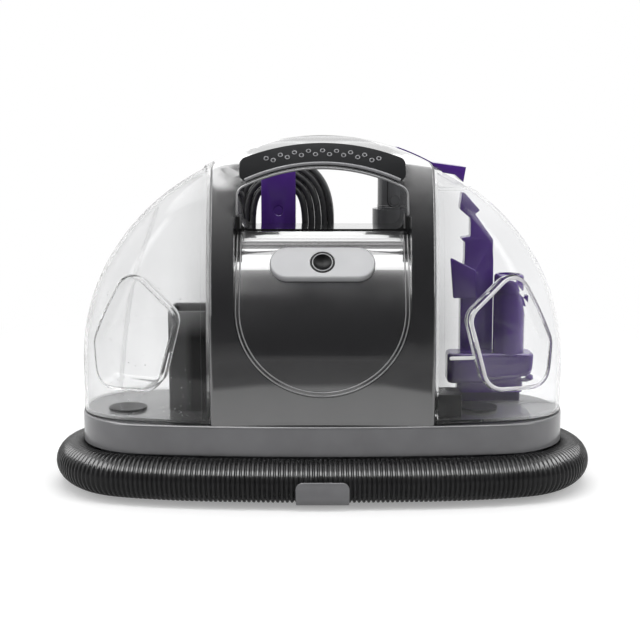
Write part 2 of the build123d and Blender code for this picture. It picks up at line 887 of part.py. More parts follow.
# Tank latch: a lever on a pin in the right shoulder, with its finger tab over the tank's notch
latch_top = -latch_proud
latch_under = latch_sink / 2 + latch_nose_r
with BuildPart() as tank_latch:
    with BuildSketch(Plane.XZ):
        with BuildLine():
            middle_x = (latch_pivot_x + tower_half_x) / 2
            ThreePointArc(
                arch_point(latch_pivot_x, latch_top),
                arch_point(middle_x, latch_top),
                arch_point(tower_half_x, latch_top),
            )
            Polyline(
                arch_point(tower_half_x, latch_top),
                (latch_tip_x, latch_tip_z),
                (latch_tip_x - latch_lip, latch_tip_z - latch_tip_h),
                (latch_tip_x - latch_tip_t, latch_tip_z - latch_tip_h / 2),
                arch_point(tower_half_x, latch_under),
            )
            ThreePointArc(
                arch_point(tower_half_x, latch_under),
                arch_point(middle_x, latch_under),
                arch_point(latch_pivot_x, latch_under),
            )
            Line(arch_point(latch_pivot_x, latch_under), arch_point(latch_pivot_x, latch_top))
        make_face()
        with Locations((latch_pivot_x, latch_pivot_z)):
            Circle(latch_nose_r)
            Circle(pin_r + pin_gap, mode=Mode.SUBTRACT)
    extrude(amount=latch_half_y, both=True)
save(tank_latch, "tank_latch")

with BuildPart() as latch_pin:
    with Locations(Location((latch_pivot_x, 0, latch_pivot_z), (90, 0, 0))):
        Cylinder(pin_r, pin_len)
save(latch_pin, "latch_pin")

# Clean tank fittings: nipple on the tower, valve block in the tank, fill cap in its floor
nipple_root_x = tower_half_x - wall
with BuildPart() as tank_nipple:
    with BuildSketch(Plane.YZ.offset(nipple_root_x - wall)):
        with Locations((nipple_y, nipple_z)):
            Circle(nipple_r + nipple_flange)
    extrude(amount=wall)
    with BuildSketch(Plane.YZ.offset(nipple_root_x)):
        with Locations((nipple_y, nipple_z)):
            Circle(nipple_r)
            Circle(nipple_r / 2, mode=Mode.SUBTRACT)
    extrude(amount=tank_near_x + nipple_reach - nipple_root_x)
save(tank_nipple, "tank_nipple")

tank_floor_z = tank_low_z + tank_wall
with BuildPart() as clean_valve:
    with BuildSketch(Plane.XY.offset(tank_floor_z)):
        with Locations((tank_near_x + tank_wall + valve_w / 2, nipple_y)):
            RectangleRounded(valve_w, valve_d, edge_round)
    extrude(amount=valve_h)
    with BuildSketch(Plane.YZ.offset(tank_near_x)):
        with Locations((nipple_y, nipple_z)):
            Circle(nipple_r + pin_gap)
    extrude(amount=nipple_reach + nipple_room / 2, mode=Mode.SUBTRACT)
save(clean_valve, "clean_valve")


def floor_cap(x, y):
    """A low screw cap in a tank's floor, with a coin slot below."""
    with BuildPart() as form:
        with BuildSketch(Plane.XY.offset(tank_low_z)):
            with Locations((x, y)):
                Circle(cap_r)
        extrude(amount=tank_wall + tank_seat_gap)
        with BuildSketch(Plane.XY.offset(tank_floor_z + tank_seat_gap)):
            with Locations((x, y)):
                Circle(cap_r + cap_rim)
        extrude(amount=cap_rim)
        with BuildSketch(Plane.XY.offset(tank_low_z)):
            with Locations((x, y)):
                SlotOverall(1.4 * cap_r, 2 * cap_rim)
        extrude(amount=cap_slot_t, mode=Mode.SUBTRACT)
    return form


fill_cap = floor_cap(fill_x, fill_y)
save(fill_cap, "fill_cap")

# Dirty tank fittings: separator stack, float inside it, drain cap in the floor
stack_x = -(tank_near_x + tank_wall + stack_w / 2)
with BuildPart() as separator_stack:
    with BuildSketch(Plane.XY.offset(tank_floor_z)):
        with Locations((stack_x, fan_y)):
            RectangleRounded(stack_w, stack_d, 2 * stack_wall)
    extrude(amount=stack_top_z - tank_floor_z)
    with BuildSketch(Plane.XY.offset(tank_floor_z + stack_wall)):
        with Locations((stack_x, fan_y)):
            RectangleRounded(stack_w - 2 * stack_wall, stack_d - 2 * stack_wall, stack_wall)
    extrude(amount=stack_top_z - tank_floor_z, mode=Mode.SUBTRACT)
save(separator_stack, "separator_stack")

with BuildPart() as tank_float:
    with BuildSketch(Plane.XY.offset(float_low_z)):
        with Locations((stack_x, fan_y)):
            Circle(float_r)
    extrude(amount=float_h)
    fillet(tank_float.edges().group_by(Axis.Z)[-1], float_round)
save(tank_float, "tank_float")

drain_cap = floor_cap(drain_x, drain_y)
save(drain_cap, "drain_cap")

# Suction fan: shroud, impeller on the motor's shaft, motor above it
shroud_top_z = deck_z + shroud_h
with BuildPart() as fan_shroud:
    with BuildSketch(Plane.XY.offset(deck_z)):
        with Locations((0, fan_y)):
            Circle(shroud_r)
    extrude(amount=shroud_h)
    with BuildSketch(Plane.XY.offset(deck_z + shroud_wall)):
        with Locations((0, fan_y)):
            Circle(shroud_r - shroud_wall)
    extrude(amount=shroud_h - 2 * shroud_wall, mode=Mode.SUBTRACT)
    with BuildSketch(Plane.XY.offset(deck_z + shroud_h / 2)):
        with Locations((0, fan_y)):
            Circle(eye_r)
    extrude(amount=shroud_h, mode=Mode.SUBTRACT)
    with BuildSketch(Plane.XZ):
        with Locations((0, deck_z + shroud_h / 2)):
            RectangleRounded(shroud_r, shroud_h / 2, edge_round)
    extrude(amount=-2 * shroud_r, mode=Mode.SUBTRACT)
save(fan_shroud, "fan_shroud")

with BuildPart() as impeller:
    with BuildSketch(Plane.XY.offset(impeller_low_z)):
        with Locations((0, fan_y)):
            Circle(impeller_r)
    extrude(amount=blade_t)
    with BuildSketch(Plane.XY.offset(impeller_low_z + blade_t)):
        with Locations((0, fan_y)):
            with PolarLocations((impeller_r + blade_tip) / 2, blade_count):
                Rectangle(impeller_r - 2 * blade_tip, blade_t, rotation=blade_lean)
    extrude(amount=impeller_h - blade_t)
    with BuildSketch(Plane.XY.offset(impeller_low_z)):
        with Locations((0, fan_y)):
            Circle(2.2 * shaft_r)
    extrude(amount=impeller_h)
    with BuildSketch(Plane.XY.offset(impeller_low_z)):
        with Locations((0, fan_y)):
            Circle(shaft_r + pin_gap / 2)
    extrude(amount=impeller_h, mode=Mode.SUBTRACT)
save(impeller, "impeller")

with BuildPart() as motor_shaft:
    with BuildSketch(Plane.XY.offset(impeller_low_z)):
        with Locations((0, fan_y)):
            Circle(shaft_r)
    extrude(amount=shaft_top_z - impeller_low_z)
save(motor_shaft, "motor_shaft")

motor_top_z = shroud_top_z + motor_h
with BuildPart() as motor_can:
    with BuildSketch(Plane.XY.offset(shroud_top_z)):
        with Locations((0, fan_y)):
            Circle(motor_r)
            Circle(shaft_r + pin_gap, mode=Mode.SUBTRACT)
    extrude(amount=motor_h)
    rims = motor_can.edges().filter_by(GeomType.CIRCLE).sort_by(SortBy.RADIUS)[-2:]
    fillet(rims, motor_edge)
save(motor_can, "motor_can")

with BuildPart() as bearing_cap:
    with BuildSketch(Plane.XY.offset(motor_top_z)):
        with Locations((0, fan_y)):
            Circle(motor_r / 2)
            Circle(shaft_r + pin_gap, mode=Mode.SUBTRACT)
    extrude(amount=shaft_top_z - motor_top_z + bearing_over)
save(bearing_cap, "bearing_cap")

pump_x = motor_r + pump_gap + pump_w / 2
with BuildPart() as pump_body:
    with BuildSketch(Plane.XY.offset(shroud_top_z)):
        with Locations((pump_x, fan_y)):
            RectangleRounded(pump_w, pump_d, pump_round)
    extrude(amount=pump_h)
    with BuildSketch(Plane.XY.offset(shroud_top_z + pump_h)):
        with Locations((pump_x, fan_y)):
            with GridLocations(0, pump_d / 2, 1, 2):
                Circle(port_r)
    extrude(amount=3 * port_r)
save(pump_body, "pump_body")

# Hose: one length round the base, from the socket behind to the foot of the wand
hose_y = base_half_y - plinth_inset + hose_gap + hose_r
hose_end_x = base_half_x - plinth_inset + hose_gap + hose_r
socket_x = 10.0
hose_start_x = socket_x + 0.75 * socket_len
hose_quarter = [
    (hose_end_x, 19.0),
    (hose_end_x - 20.5, hose_y - 27.0),
    (hose_end_x - 49.5, hose_y - 12.0),
    (hose_end_x - 129.5, hose_y),
]
hose_points = [(hose_start_x, hose_y, hose_z)]
hose_points += [(-x, y, hose_z) for x, y in reversed(hose_quarter)]
hose_points += [(-x, -y, hose_z) for x, y in hose_quarter]
hose_points += [(x, -y, hose_z) for x, y in reversed(hose_quarter)]
hose_points += [(x, y, hose_z) for x, y in hose_quarter[:2]]
hose_points += [
    (hose_end_x - 49.5, hose_y - 9.5, hose_z),
    (wand_x + 58.5, wand_y - 1.0, hose_z + 1.5),
    (wand_x + 22.5, wand_y, hose_z + 21.0),
    (wand_x, wand_y, hose_z + 55.0),
    (wand_x, wand_y, wand_foot_z + hose_seat),
]


def cord_radii(points):
    """Largest bend radius that each corner of a route allows."""
    route = [Vector(*point) for point in points]
    radii = []
    for before, corner, after in zip(route, route[1:], route[2:]):
        turn = (corner - before).get_angle(after - corner)
        run = min((corner - before).length, (after - corner).length)
        radii.append(0.45 * run / tan(radians(turn / 2)))
    return radii


def cord_tube(points, radius, name):
    """A plain tube of that radius along a route of straight runs and tangent arcs."""
    radii = cord_radii(points)
    print(name, "bend radii", [round(r) for r in radii])
    with BuildPart() as tube:
        with BuildLine():
            route = FilletPolyline(*points, radius=radii)
        with BuildSketch(Plane(origin=points[0], z_dir=route % 0)):
            Circle(radius)
        sweep()
    share = tube.part.volume / (pi * radius**2 * route.length)
    print(name, "length", round(route.length), "volume share", round(share, 4))
    return tube


hose = cord_tube(hose_points, hose_r, "hose")
save(hose, "hose")

with BuildPart() as hose_port:
    with BuildSketch(Plane.YZ.offset(socket_x)):
        with Locations((hose_y, hose_z)):
            Circle(hose_r + socket_wall)
    extrude(amount=socket_len)
    with BuildSketch(Plane.XY.offset(hose_z - hose_r / 2)):
        with Locations((socket_x + socket_len / 2, hose_y - (hose_r + hose_gap) / 2)):
            Rectangle(socket_len, hose_r + hose_gap)
    extrude(amount=hose_r)
    with BuildSketch(Plane.YZ.offset(socket_x)):
        with Locations((hose_y, hose_z)):
            Circle(hose_r + hose_fit)
    extrude(amount=hose_start_x - socket_x, mode=Mode.SUBTRACT)
save(hose_port, "hose_port")

# Hose clip: a tongue under the base plate that hooks round the hose in front
clip_in_r = hose_r + clip_gap
clip_out_r = clip_in_r + clip_t
with BuildPart() as hose_clip:
    with BuildSketch(Plane.YZ):
        with BuildLine():
            CenterArc((-hose_y, hose_z), clip_out_r, 180, 90)
            Line((-hose_y, hose_z - clip_out_r), (clip_back_y, hose_z - clip_out_r))
            Line((clip_back_y, hose_z - clip_out_r), (clip_back_y, foot_h))
            Line((clip_back_y, foot_h), (clip_foot_y, foot_h))
            Line((clip_foot_y, foot_h), (-hose_y, hose_z - clip_in_r))
            CenterArc((-hose_y, hose_z), clip_in_r, 270, -90)
            Polyline(
                (-hose_y - clip_in_r, hose_z),
                (-hose_y - clip_in_r, clip_top_z),
                (-hose_y - clip_out_r, clip_top_z),
                (-hose_y - clip_out_r, hose_z),
            )
        make_face()
    extrude(amount=clip_w / 2, both=True)
    corners = hose_clip.edges().filter_by(Axis.Y).group_by(Axis.Z)[-1]
    fillet(corners, clip_round)
save(hose_clip, "hose_clip")

# Wand: stands behind the tower with its neck up
with BuildPart() as wand_grip:
    with BuildSketch(Plane.XZ.offset(-wand_y)):
        with BuildLine():
            wand_foot_x = wand_x + hose_r + wand_foot_wall
            Polyline(
                (wand_x, wand_foot_z),
                (wand_foot_x, wand_foot_z),
                (wand_foot_x, wand_foot_z + wand_foot_h),
                (wand_x + wand_waist_r, wand_waist_z),
                (wand_x + wand_waist_r, trigger_low_z - trigger_gap),
                (wand_x + collar_r, collar_top_z - collar_h),
                (wand_x + collar_r, collar_top_z),
                (wand_x, collar_top_z),
                close=True,
            )
        make_face()
    revolve(axis=Axis((wand_x, wand_y, 0), (0, 0, 1)))
    with BuildSketch(Plane.XY.offset(wand_foot_z)):
        with Locations((wand_x, wand_y)):
            Circle(hose_r + hose_fit)
    extrude(amount=hose_seat, mode=Mode.SUBTRACT)
    with BuildSketch(Plane.XY.offset(trigger_low_z - 2 * trigger_proud)):
        with Locations((wand_x, wand_y + collar_r)):
            Rectangle(trigger_w + 2 * trigger_gap, 2 * (collar_r - trigger_proud - trigger_gap / 2))
    extrude(amount=trigger_top_z - trigger_low_z + 3 * trigger_proud, mode=Mode.SUBTRACT)
    with Locations(Location((wand_x, trigger_pin_y, trigger_pin_z), (0, 90, 0))):
        Cylinder(pin_r + pin_gap / 2, trigger_pin_len + pin_room, mode=Mode.SUBTRACT)
save(wand_grip, "wand_grip")

with BuildPart() as wand_trigger:
    with BuildSketch(Plane.YZ.offset(wand_x)):
        with BuildLine() as trigger_line:
            root_y = trigger_pin_y - 3.5
            Polyline(
                (root_y, trigger_top_z),
                (wand_y + collar_r, trigger_top_z),
                (wand_y + collar_r + trigger_proud, trigger_top_z - trigger_t),
                (wand_y + wand_waist_r + trigger_proud, trigger_low_z),
                (wand_y + wand_waist_r - trigger_proud, trigger_low_z),
                (wand_y + wand_waist_r - 2 * trigger_proud, trigger_top_z - 2 * trigger_t),
                (root_y, trigger_top_z - trigger_t),
                close=True,
            )
            fillet(trigger_line.vertices(), trigger_round)
        make_face()
        with Locations((trigger_pin_y, trigger_pin_z)):
            Circle(pin_r + pin_gap, mode=Mode.SUBTRACT)
    extrude(amount=trigger_w / 2, both=True)
save(wand_trigger, "wand_trigger")

with BuildPart() as trigger_pin:
    with Locations(Location((wand_x, trigger_pin_y, trigger_pin_z), (0, 90, 0))):
        Cylinder(pin_r, trigger_pin_len)
save(trigger_pin, "trigger_pin")

with BuildPart() as wand_neck:
    with BuildSketch(Plane.XY.offset(collar_top_z)):
        with Locations((wand_x, wand_y)):
            Circle(neck_r)
            Circle(neck_bore_r, mode=Mode.SUBTRACT)
    extrude(amount=neck_top_z - collar_top_z)
    chamfer(wand_neck.edges().group_by(Axis.Z)[-1].sort_by(SortBy.RADIUS)[-1], neck_edge)
    with Locations(Location((wand_x, wand_y - neck_r, release_z), (90, 0, 0))):
        Cylinder(release_r + release_gap, neck_r, mode=Mode.SUBTRACT)
save(wand_neck, "wand_neck")

with BuildPart() as wand_release:
    with BuildSketch(Plane.XZ.offset(-wand_y + neck_bore_r - release_sink)):
        with Locations((wand_x, release_z)):
            Circle(release_r)
    extrude(amount=neck_r - neck_bore_r + release_sink + release_proud)
save(wand_release, "wand_release")

with BuildPart() as wand_clip:
    with BuildSketch(Plane.XY.offset(wand_clip_z)):
        with Locations((wand_x, wand_y)):
            Circle(wand_waist_r + wand_clip_gap + wand_clip_t)
        with Locations((wand_x, (tower_rear_y + wand_y) / 2)):
            Rectangle(wand_clip_h, wand_y - tower_rear_y)
        with Locations((wand_x, wand_y)):
            Circle(wand_waist_r + wand_clip_gap, mode=Mode.SUBTRACT)
        with Locations((wand_x, wand_y + collar_r)):
            Rectangle(1.2 * wand_waist_r, 2 * collar_r, mode=Mode.SUBTRACT)
    extrude(amount=wand_clip_h)
save(wand_clip, "wand_clip")

# Cord post with its two hooks, behind the tower on the left
post_y = tower_rear_y + post_gap
post_back_y = post_y + post_t
with BuildPart() as cord_post:
    with BuildSketch(Plane.XZ.offset(-post_y)):
        with Locations((post_x, (post_low_z + post_top_z) / 2)):
            RectangleRounded(post_w, post_top_z - post_low_z, post_round)
        with Locations((post_x, coil_high_z)):
            Circle(hub_bore_r + pin_gap, mode=Mode.SUBTRACT)
    extrude(amount=-post_t)
save(cord_post, "cord_post")

coil_front_y = post_back_y + coil_gap
coil_back_y = coil_front_y + cord_layers * cord_pitch
coil_outer_r = coil_inner_r + cord_columns * cord_pitch
lip_y = coil_back_y + hub_gap


def hook_form(centre_z, reach):
    """A hub inside the coil, no wider than the post, with a lip behind it that reaches past the coil."""
    with BuildPart() as form:
        with BuildSketch(Plane.XZ.offset(-post_back_y - pin_gap)):
            with Locations((post_x, centre_z)):
                Circle(coil_inner_r - hub_gap)
                Rectangle(post_w, 2 * coil_inner_r, mode=Mode.INTERSECT)
        extrude(amount=-(lip_y - post_back_y - pin_gap))
        with BuildSketch(Plane.XZ.offset(-lip_y)):
            with Locations((post_x, centre_z)):
                Circle(lip_w / 2)
            with Locations((post_x, centre_z + reach / 2)):
                RectangleRounded(lip_w, abs(reach), lip_round)
        extrude(amount=-lip_t)
    return form.part


upper_form = hook_form(coil_high_z, lip_reach)
lower_form = hook_form(coil_low_z, post_low_z - coil_low_z)
with BuildPart() as cord_hook:
    add(upper_form)
    with BuildSketch(Plane.XZ.offset(-post_y - post_gap)):
        with Locations((post_x, coil_high_z)):
            Circle(hub_bore_r)
    extrude(amount=-post_t)
save(cord_hook, "cord_hook")

with BuildPart() as lower_hook:
    add(lower_form)
save(lower_hook, "lower_hook")

# Power cord: gland, lead, wound coil, tail and plug
with BuildPart() as cord_coil:
    with BuildSketch(Plane.XZ.offset(-coil_front_y)):
        with Locations((post_x, (coil_low_z + coil_high_z) / 2)):
            SlotCenterToCenter(coil_high_z - coil_low_z, 2 * coil_outer_r, rotation=90)
            SlotCenterToCenter(
                coil_high_z - coil_low_z, 2 * coil_inner_r, rotation=90, mode=Mode.SUBTRACT
            )
    extrude(amount=-cord_layers * cord_pitch)
save(cord_coil, "cord_coil")

strand_r = coil_outer_r - cord_pitch / 2
lead_x = post_x + strand_r
lead_y = coil_front_y + cord_pitch / 2
gland_low_z = deck_z + gland_gap
with BuildPart() as cord_gland:
    with BuildSketch(Plane.XY.offset(gland_low_z)):
        with Locations((lead_x, (tower_rear_y + lead_y + gland_rim) / 2)):
            Rectangle(gland_w, lead_y + gland_rim - tower_rear_y)
    extrude(amount=gland_h)
    with BuildSketch(Plane.XY.offset(gland_low_z + gland_h)):
        with Locations((lead_x, lead_y)):
            Circle(relief_r)
    with BuildSketch(Plane.XY.offset(gland_low_z + gland_h + relief_h)):
        with Locations((lead_x, lead_y)):
            Circle(cord_d / 2 + relief_wall)
    loft()
save(cord_gland, "cord_gland")

with BuildPart() as cord_lead:
    with BuildSketch(Plane.XY.offset(gland_low_z + gland_h + relief_h)):
        with Locations((lead_x, lead_y)):
            Circle(cord_d / 2)
    extrude(amount=coil_low_z - gland_low_z - gland_h - relief_h)
save(cord_lead, "cord_lead")

tail_x = post_x - strand_r
tail_y = lead_y + cord_pitch
tail_points = [
    (tail_x, tail_y, coil_low_z + 23.0),
    (tail_x, tail_y + 3.45, coil_low_z + 9.0),
    (tail_x, tail_y + 9.45, coil_low_z - 3.0),
    (tail_x, tail_y + 10.45, coil_low_z - 11.0),
]
cord_tail = cord_tube(tail_points, cord_d / 2, "cord tail")
save(cord_tail, "cord_tail")

plug_top = tail_points[-1]
with BuildPart() as power_plug:
    with BuildSketch(Plane.XY.offset(plug_top[2])):
        with Locations(plug_top[:2]):
            RectangleRounded(plug_neck_w, plug_neck_d, edge_round)
    with BuildSketch(Plane.XY.offset(plug_top[2] - plug_h)):
        with Locations(plug_top[:2]):
            RectangleRounded(plug_w, plug_d, 2 * edge_round)
    loft()
save(power_plug, "power_plug")

with BuildPart() as plug_prongs:
    with BuildSketch(Plane.XY.offset(plug_top[2] - plug_h)):
        with Locations(plug_top[:2]):
            with GridLocations(prong_pitch, 0, 2, 1):
                Rectangle(prong_t, prong_w)
    extrude(amount=-prong_h)
save(plug_prongs, "plug_prongs")

# Tools, standing on pegs behind the clean tank
tool_low_z = deck_z + tool_seat_gap
with BuildPart() as tool_pegs:
    with BuildSketch(Plane.XY.offset(deck_z)):
        with Locations((brush_x, brush_y), (slim_x, slim_y)):
            Circle(peg_r)
    extrude(amount=peg_h)
    chamfer(tool_pegs.edges().group_by(Axis.Z)[-1], peg_edge)
save(tool_pegs, "tool_pegs")

# Brush tool: foot, wide mouth, round neck with a waist under its spigot
with BuildPart() as brush_tool:
    with BuildSketch(Plane.XY.offset(brush_mouth_low_z)):
        with Locations((brush_x, brush_y)):
            RectangleRounded(brush_mouth_w, brush_mouth_d, brush_mouth_round)
    extrude(amount=brush_mouth_top_z - brush_mouth_low_z)
    fillet(brush_tool.edges().group_by(Axis.Z)[-1], brush_mouth_edge)
    fillet(brush_tool.edges().group_by(Axis.Z)[0], brush_mouth_edge)
    with BuildSketch(Plane.XY.offset(tool_low_z + bristle_h)):
        with Locations((brush_x, brush_y)):
            RectangleRounded(brush_foot_w, brush_foot_d, brush_mouth_round)
    extrude(amount=brush_mouth_top_z - brush_mouth_edge - tool_low_z - bristle_h)
    for radius, low_z, high_z in (
        (brush_neck_r, brush_mouth_low_z, brush_neck_top_z),
        (brush_waist_r, brush_neck_top_z, brush_spigot_z),
        (brush_spigot_r, brush_spigot_z, brush_top_z),
    ):
        with BuildSketch(Plane.XY.offset(low_z)):
            with Locations((brush_neck_x, brush_y)):
                Circle(radius)
        extrude(amount=high_z - low_z)
    fillet(brush_tool.edges().group_by(Axis.Z)[-1], brush_mouth_edge)
    with Locations((brush_neck_x + brush_neck_r, brush_y, brush_tab_z)):
        Box(2 * brush_tab_w, brush_tab_d, brush_tab_h)
    with BuildSketch(Plane.XY.offset(brush_top_z)):
        with Locations((brush_neck_x, brush_y)):
            Circle(brush_bore_r)
    extrude(amount=-brush_bore_h, mode=Mode.SUBTRACT)
    with BuildSketch(Plane.XY.offset(tool_low_z)):
        with Locations((brush_x, brush_y)):
            Circle(peg_r + peg_gap)
    extrude(amount=peg_h + peg_room, mode=Mode.SUBTRACT)
save(brush_tool, "brush_tool")

with BuildPart() as brush_bristles:
    with BuildSketch(Plane.XY.offset(tool_low_z)):
        with Locations((brush_x, brush_y)):
            RectangleRounded(
                brush_foot_w - bristle_inset, brush_foot_d - bristle_inset, brush_mouth_round - bristle_inset / 2
            )
            Circle(peg_r + peg_gap, mode=Mode.SUBTRACT)
    extrude(amount=bristle_h)
save(brush_bristles, "brush_bristles")

# Slim tool: a flat stem with a slanted tip, two spurs and a wing on its front
slim_low_points = [(slim_outline[-1][0], tool_low_z), (slim_outline[0][0], tool_low_z)]
with BuildPart() as slim_tool:
    with BuildSketch(Plane.XZ.offset(-slim_y)):
        with BuildLine() as slim_line:
            Polyline(*slim_outline, *slim_low_points, close=True)
            fillet(slim_line.vertices(), slim_round)
        make_face()
    extrude(amount=slim_d / 2, both=True)
    with BuildSketch(Plane.XZ.offset(-slim_y + slim_d / 2 + slim_wing_proud)):
        with BuildLine() as wing_line:
            Polyline(*slim_wing, close=True)
            fillet(wing_line.vertices(), slim_round)
        make_face()
    extrude(amount=-slim_wing_t)
    with BuildSketch(Plane.XY.offset(tool_low_z)):
        with Locations((slim_x, slim_y)):
            Circle(peg_r + peg_gap)
    extrude(amount=peg_h + peg_room, mode=Mode.SUBTRACT)
save(slim_tool, "slim_tool")
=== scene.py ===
import json
from math import atan2, cos, pi, radians, sin, sqrt
from random import Random

import bmesh
import bpy
from bpy.props import FloatProperty, FloatVectorProperty, IntProperty, PointerProperty
from mathutils import Matrix, Vector
from mathutils.bvhtree import BVHTree


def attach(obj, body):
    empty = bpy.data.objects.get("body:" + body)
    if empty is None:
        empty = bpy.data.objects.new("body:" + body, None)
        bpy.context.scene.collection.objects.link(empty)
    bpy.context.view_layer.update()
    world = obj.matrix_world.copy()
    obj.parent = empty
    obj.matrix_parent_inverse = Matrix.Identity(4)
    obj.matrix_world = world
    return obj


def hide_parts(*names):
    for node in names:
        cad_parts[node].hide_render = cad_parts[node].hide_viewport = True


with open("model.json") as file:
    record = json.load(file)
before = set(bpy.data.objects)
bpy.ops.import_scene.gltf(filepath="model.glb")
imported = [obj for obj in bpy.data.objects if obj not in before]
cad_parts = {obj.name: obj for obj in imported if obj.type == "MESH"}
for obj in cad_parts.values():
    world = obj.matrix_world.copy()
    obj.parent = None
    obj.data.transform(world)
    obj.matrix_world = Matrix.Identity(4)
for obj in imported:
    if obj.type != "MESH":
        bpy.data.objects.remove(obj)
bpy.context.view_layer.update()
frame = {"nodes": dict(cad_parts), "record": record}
nodes = frame["nodes"]

bl_info = {
    "name": "Portable Carpet Cleaner",
    "version": (1, 0, 0),
    "blender": (4, 5, 0),
    "location": "View3D > Sidebar > Cleaner",
    "description": "Dresses a portable carpet cleaner: finishes, hose, cord, tanks, tools and studio",
    "category": "Object",
}


def colour_property(name, description, default):
    """A colour of the cleaner that a user may change."""
    return FloatVectorProperty(
        name=name, description=description, subtype="COLOR", size=3, min=0.0, max=1.0, default=default
    )


def length_property(name, description, default):
    """A length of the cleaner that a user may change, in metres."""
    return FloatProperty(
        name=name, description=description, unit="LENGTH", subtype="DISTANCE", default=default
    )


class CleanerColours(bpy.types.PropertyGroup):
    """Colours of the cleaner's finishes"""

    gunmetal: colour_property("Gunmetal", "Glossy paint of the tower and its panel", (0.018, 0.018, 0.0195))
    base_grey: colour_property("Base grey", "Satin plastic of the base and its clip", (0.125, 0.125, 0.132))
    grip_grey: colour_property("Grip grey", "Satin plastic of the grip insert", (0.0115, 0.0119, 0.0128))
    wand_grey: colour_property("Wand grey", "Plastic of the wand", (0.09, 0.091, 0.095))
    silver: colour_property("Silver", "Satin paint of the switch plate", (0.46, 0.463, 0.475))
    black: colour_property("Black", "Satin black plastic", (0.016, 0.016, 0.017))
    rubber: colour_property("Rubber", "Hose and feet", (0.007, 0.007, 0.0073))
    purple: colour_property("Purple", "Tools, lever and cord post", (0.088, 0.027, 0.27))
    cord: colour_property("Cord", "Sheath of the power cord", (0.05, 0.05, 0.053))
    # The ring grey also colours the grip's lip, where its light grey is a painted reflection
    ring_grey: colour_property("Ring grey", "Raised rings of the grip", (0.22, 0.22, 0.23))
    # The rim beads' light grey is a painted highlight along the panel's and the hand gap's edges
    rim_highlight_grey: colour_property("Rim grey", "Bright beads along the panel and the hand gap", (0.2, 0.2, 0.205))
    steel: colour_property("Steel", "Pins, screws and prongs", (0.55, 0.55, 0.56))
    white: colour_property("White", "Float and fill mark", (0.8, 0.8, 0.8))
    clear_tank: colour_property("Clear tank", "Tint of the clean tank", (0.965, 0.967, 0.972))
    smoke_tank: colour_property("Smoky tank", "Tint of the dirty tank", (0.93, 0.932, 0.935))


class CleanerSizes(bpy.types.PropertyGroup):
    """Sizes of the details that are added to the frame"""

    hose_radius: length_property("Hose radius", "Radius over the hose's ribs", 0.01725)
    rib_pitch: length_property("Rib pitch", "Distance from rib to rib of the hose", 0.00375)
    rib_depth: length_property("Rib depth", "Depth of the groove between two ribs", 0.0017)
    cord_diameter: length_property("Cord diameter", "Diameter of the power cord", 0.0056)
    ring_radius: length_property("Ring radius", "Radius of the raised rings on the grip", 0.00165)
    ring_pitch: length_property("Ring pitch", "Distance between two rings along the grip", 0.0056)
    bead_radius: length_property("Bead radius", "Radius of the beads round the front panel", 0.0006)
    ring_count: IntProperty(name="Rings", description="Raised rings on the grip", min=1, default=17)


class CleanerStage(bpy.types.PropertyGroup):
    """Studio that the cleaner stands in"""

    camera_height: length_property("Camera height", "Height of the camera over the floor", 0.303)
    camera_distance: length_property("Camera distance", "Distance from the camera to the middle", 1.043)
    camera_tilt: FloatProperty(
        name="Camera tilt", description="Angle that the camera looks down", subtype="ANGLE",
        default=radians(9.1),
    )
    lens: FloatProperty(name="Lens", description="Focal length", unit="CAMERA", default=71.07)


def colours():
    """The scene's colours."""
    return bpy.context.scene.cleaner_colours


def sizes():
    """The scene's sizes."""
    return bpy.context.scene.cleaner_sizes


def start_material(name):
    """A new node material, its tree, its shader and its object coordinates."""
    material = bpy.data.materials.new(name + "_finish")
    material.use_nodes = True
    tree = material.node_tree
    shader = tree.nodes["Principled BSDF"]
    place = tree.nodes.new("ShaderNodeTexCoord").outputs["Object"]
    return material, tree, shader, place


def set_inputs(node, **values):
    """Sets a node's own sockets, named with _ for a space."""
    for name, value in values.items():
        node.inputs[name.replace("_", " ")].default_value = value


def noise(tree, vector, scale):
    """A noise texture of that many waves a metre."""
    node = tree.nodes.new("ShaderNodeTexNoise")
    set_inputs(node, Scale=scale, Detail=3.0)
    tree.links.new(vector, node.inputs["Vector"])
    return node.outputs["Fac"]


def remap(tree, value, low, high, start=0.3, end=0.7):
    """Spreads a value from start..end over low..high."""
    node = tree.nodes.new("ShaderNodeMapRange")
    set_inputs(node, From_Min=start, From_Max=end, To_Min=low, To_Max=high)
    tree.links.new(value, node.inputs["Value"])
    return node.outputs["Result"]


def feed(tree, value, socket):
    """Links a value to a socket, or sets it there if it is a number or a colour."""
    if isinstance(value, bpy.types.NodeSocket):
        tree.links.new(value, socket)
    else:
        socket.default_value = value


def blend_colours(tree, factor, first, second):
    """Mixes two colours, each a socket or three numbers, by a factor."""
    node = tree.nodes.new("ShaderNodeMix")
    node.data_type = "RGBA"
    tree.links.new(factor, node.inputs[0])
    for colour, socket in ((first, node.inputs[6]), (second, node.inputs[7])):
        feed(tree, (*colour, 1) if isinstance(colour, tuple) else colour, socket)
    return node.outputs[2]


def math(tree, operation, first, second):
    """One step of arithmetic on two values, each a socket or a number."""
    node = tree.nodes.new("ShaderNodeMath")
    node.operation = operation
    for value, socket in zip((first, second), node.inputs):
        feed(tree, value, socket)
    return node.outputs[0]


def axis(tree, vector, name):
    """One axis of a vector."""
    node = tree.nodes.new("ShaderNodeSeparateXYZ")
    tree.links.new(vector, node.inputs[0])
    return node.outputs[name]


def bump(tree, shader, height, strength, distance):
    """Raises the shader's surface by a height."""
    node = tree.nodes.new("ShaderNodeBump")
    set_inputs(node, Strength=strength, Distance=distance)
    tree.links.new(height, node.inputs["Height"])
    tree.links.new(node.outputs["Normal"], shader.inputs["Normal"])


def paint(tree, shader, tone, gloss):
    """Links a colour and a roughness to the shader."""
    tree.links.new(tone, shader.inputs["Base Color"])
    tree.links.new(gloss, shader.inputs["Roughness"])


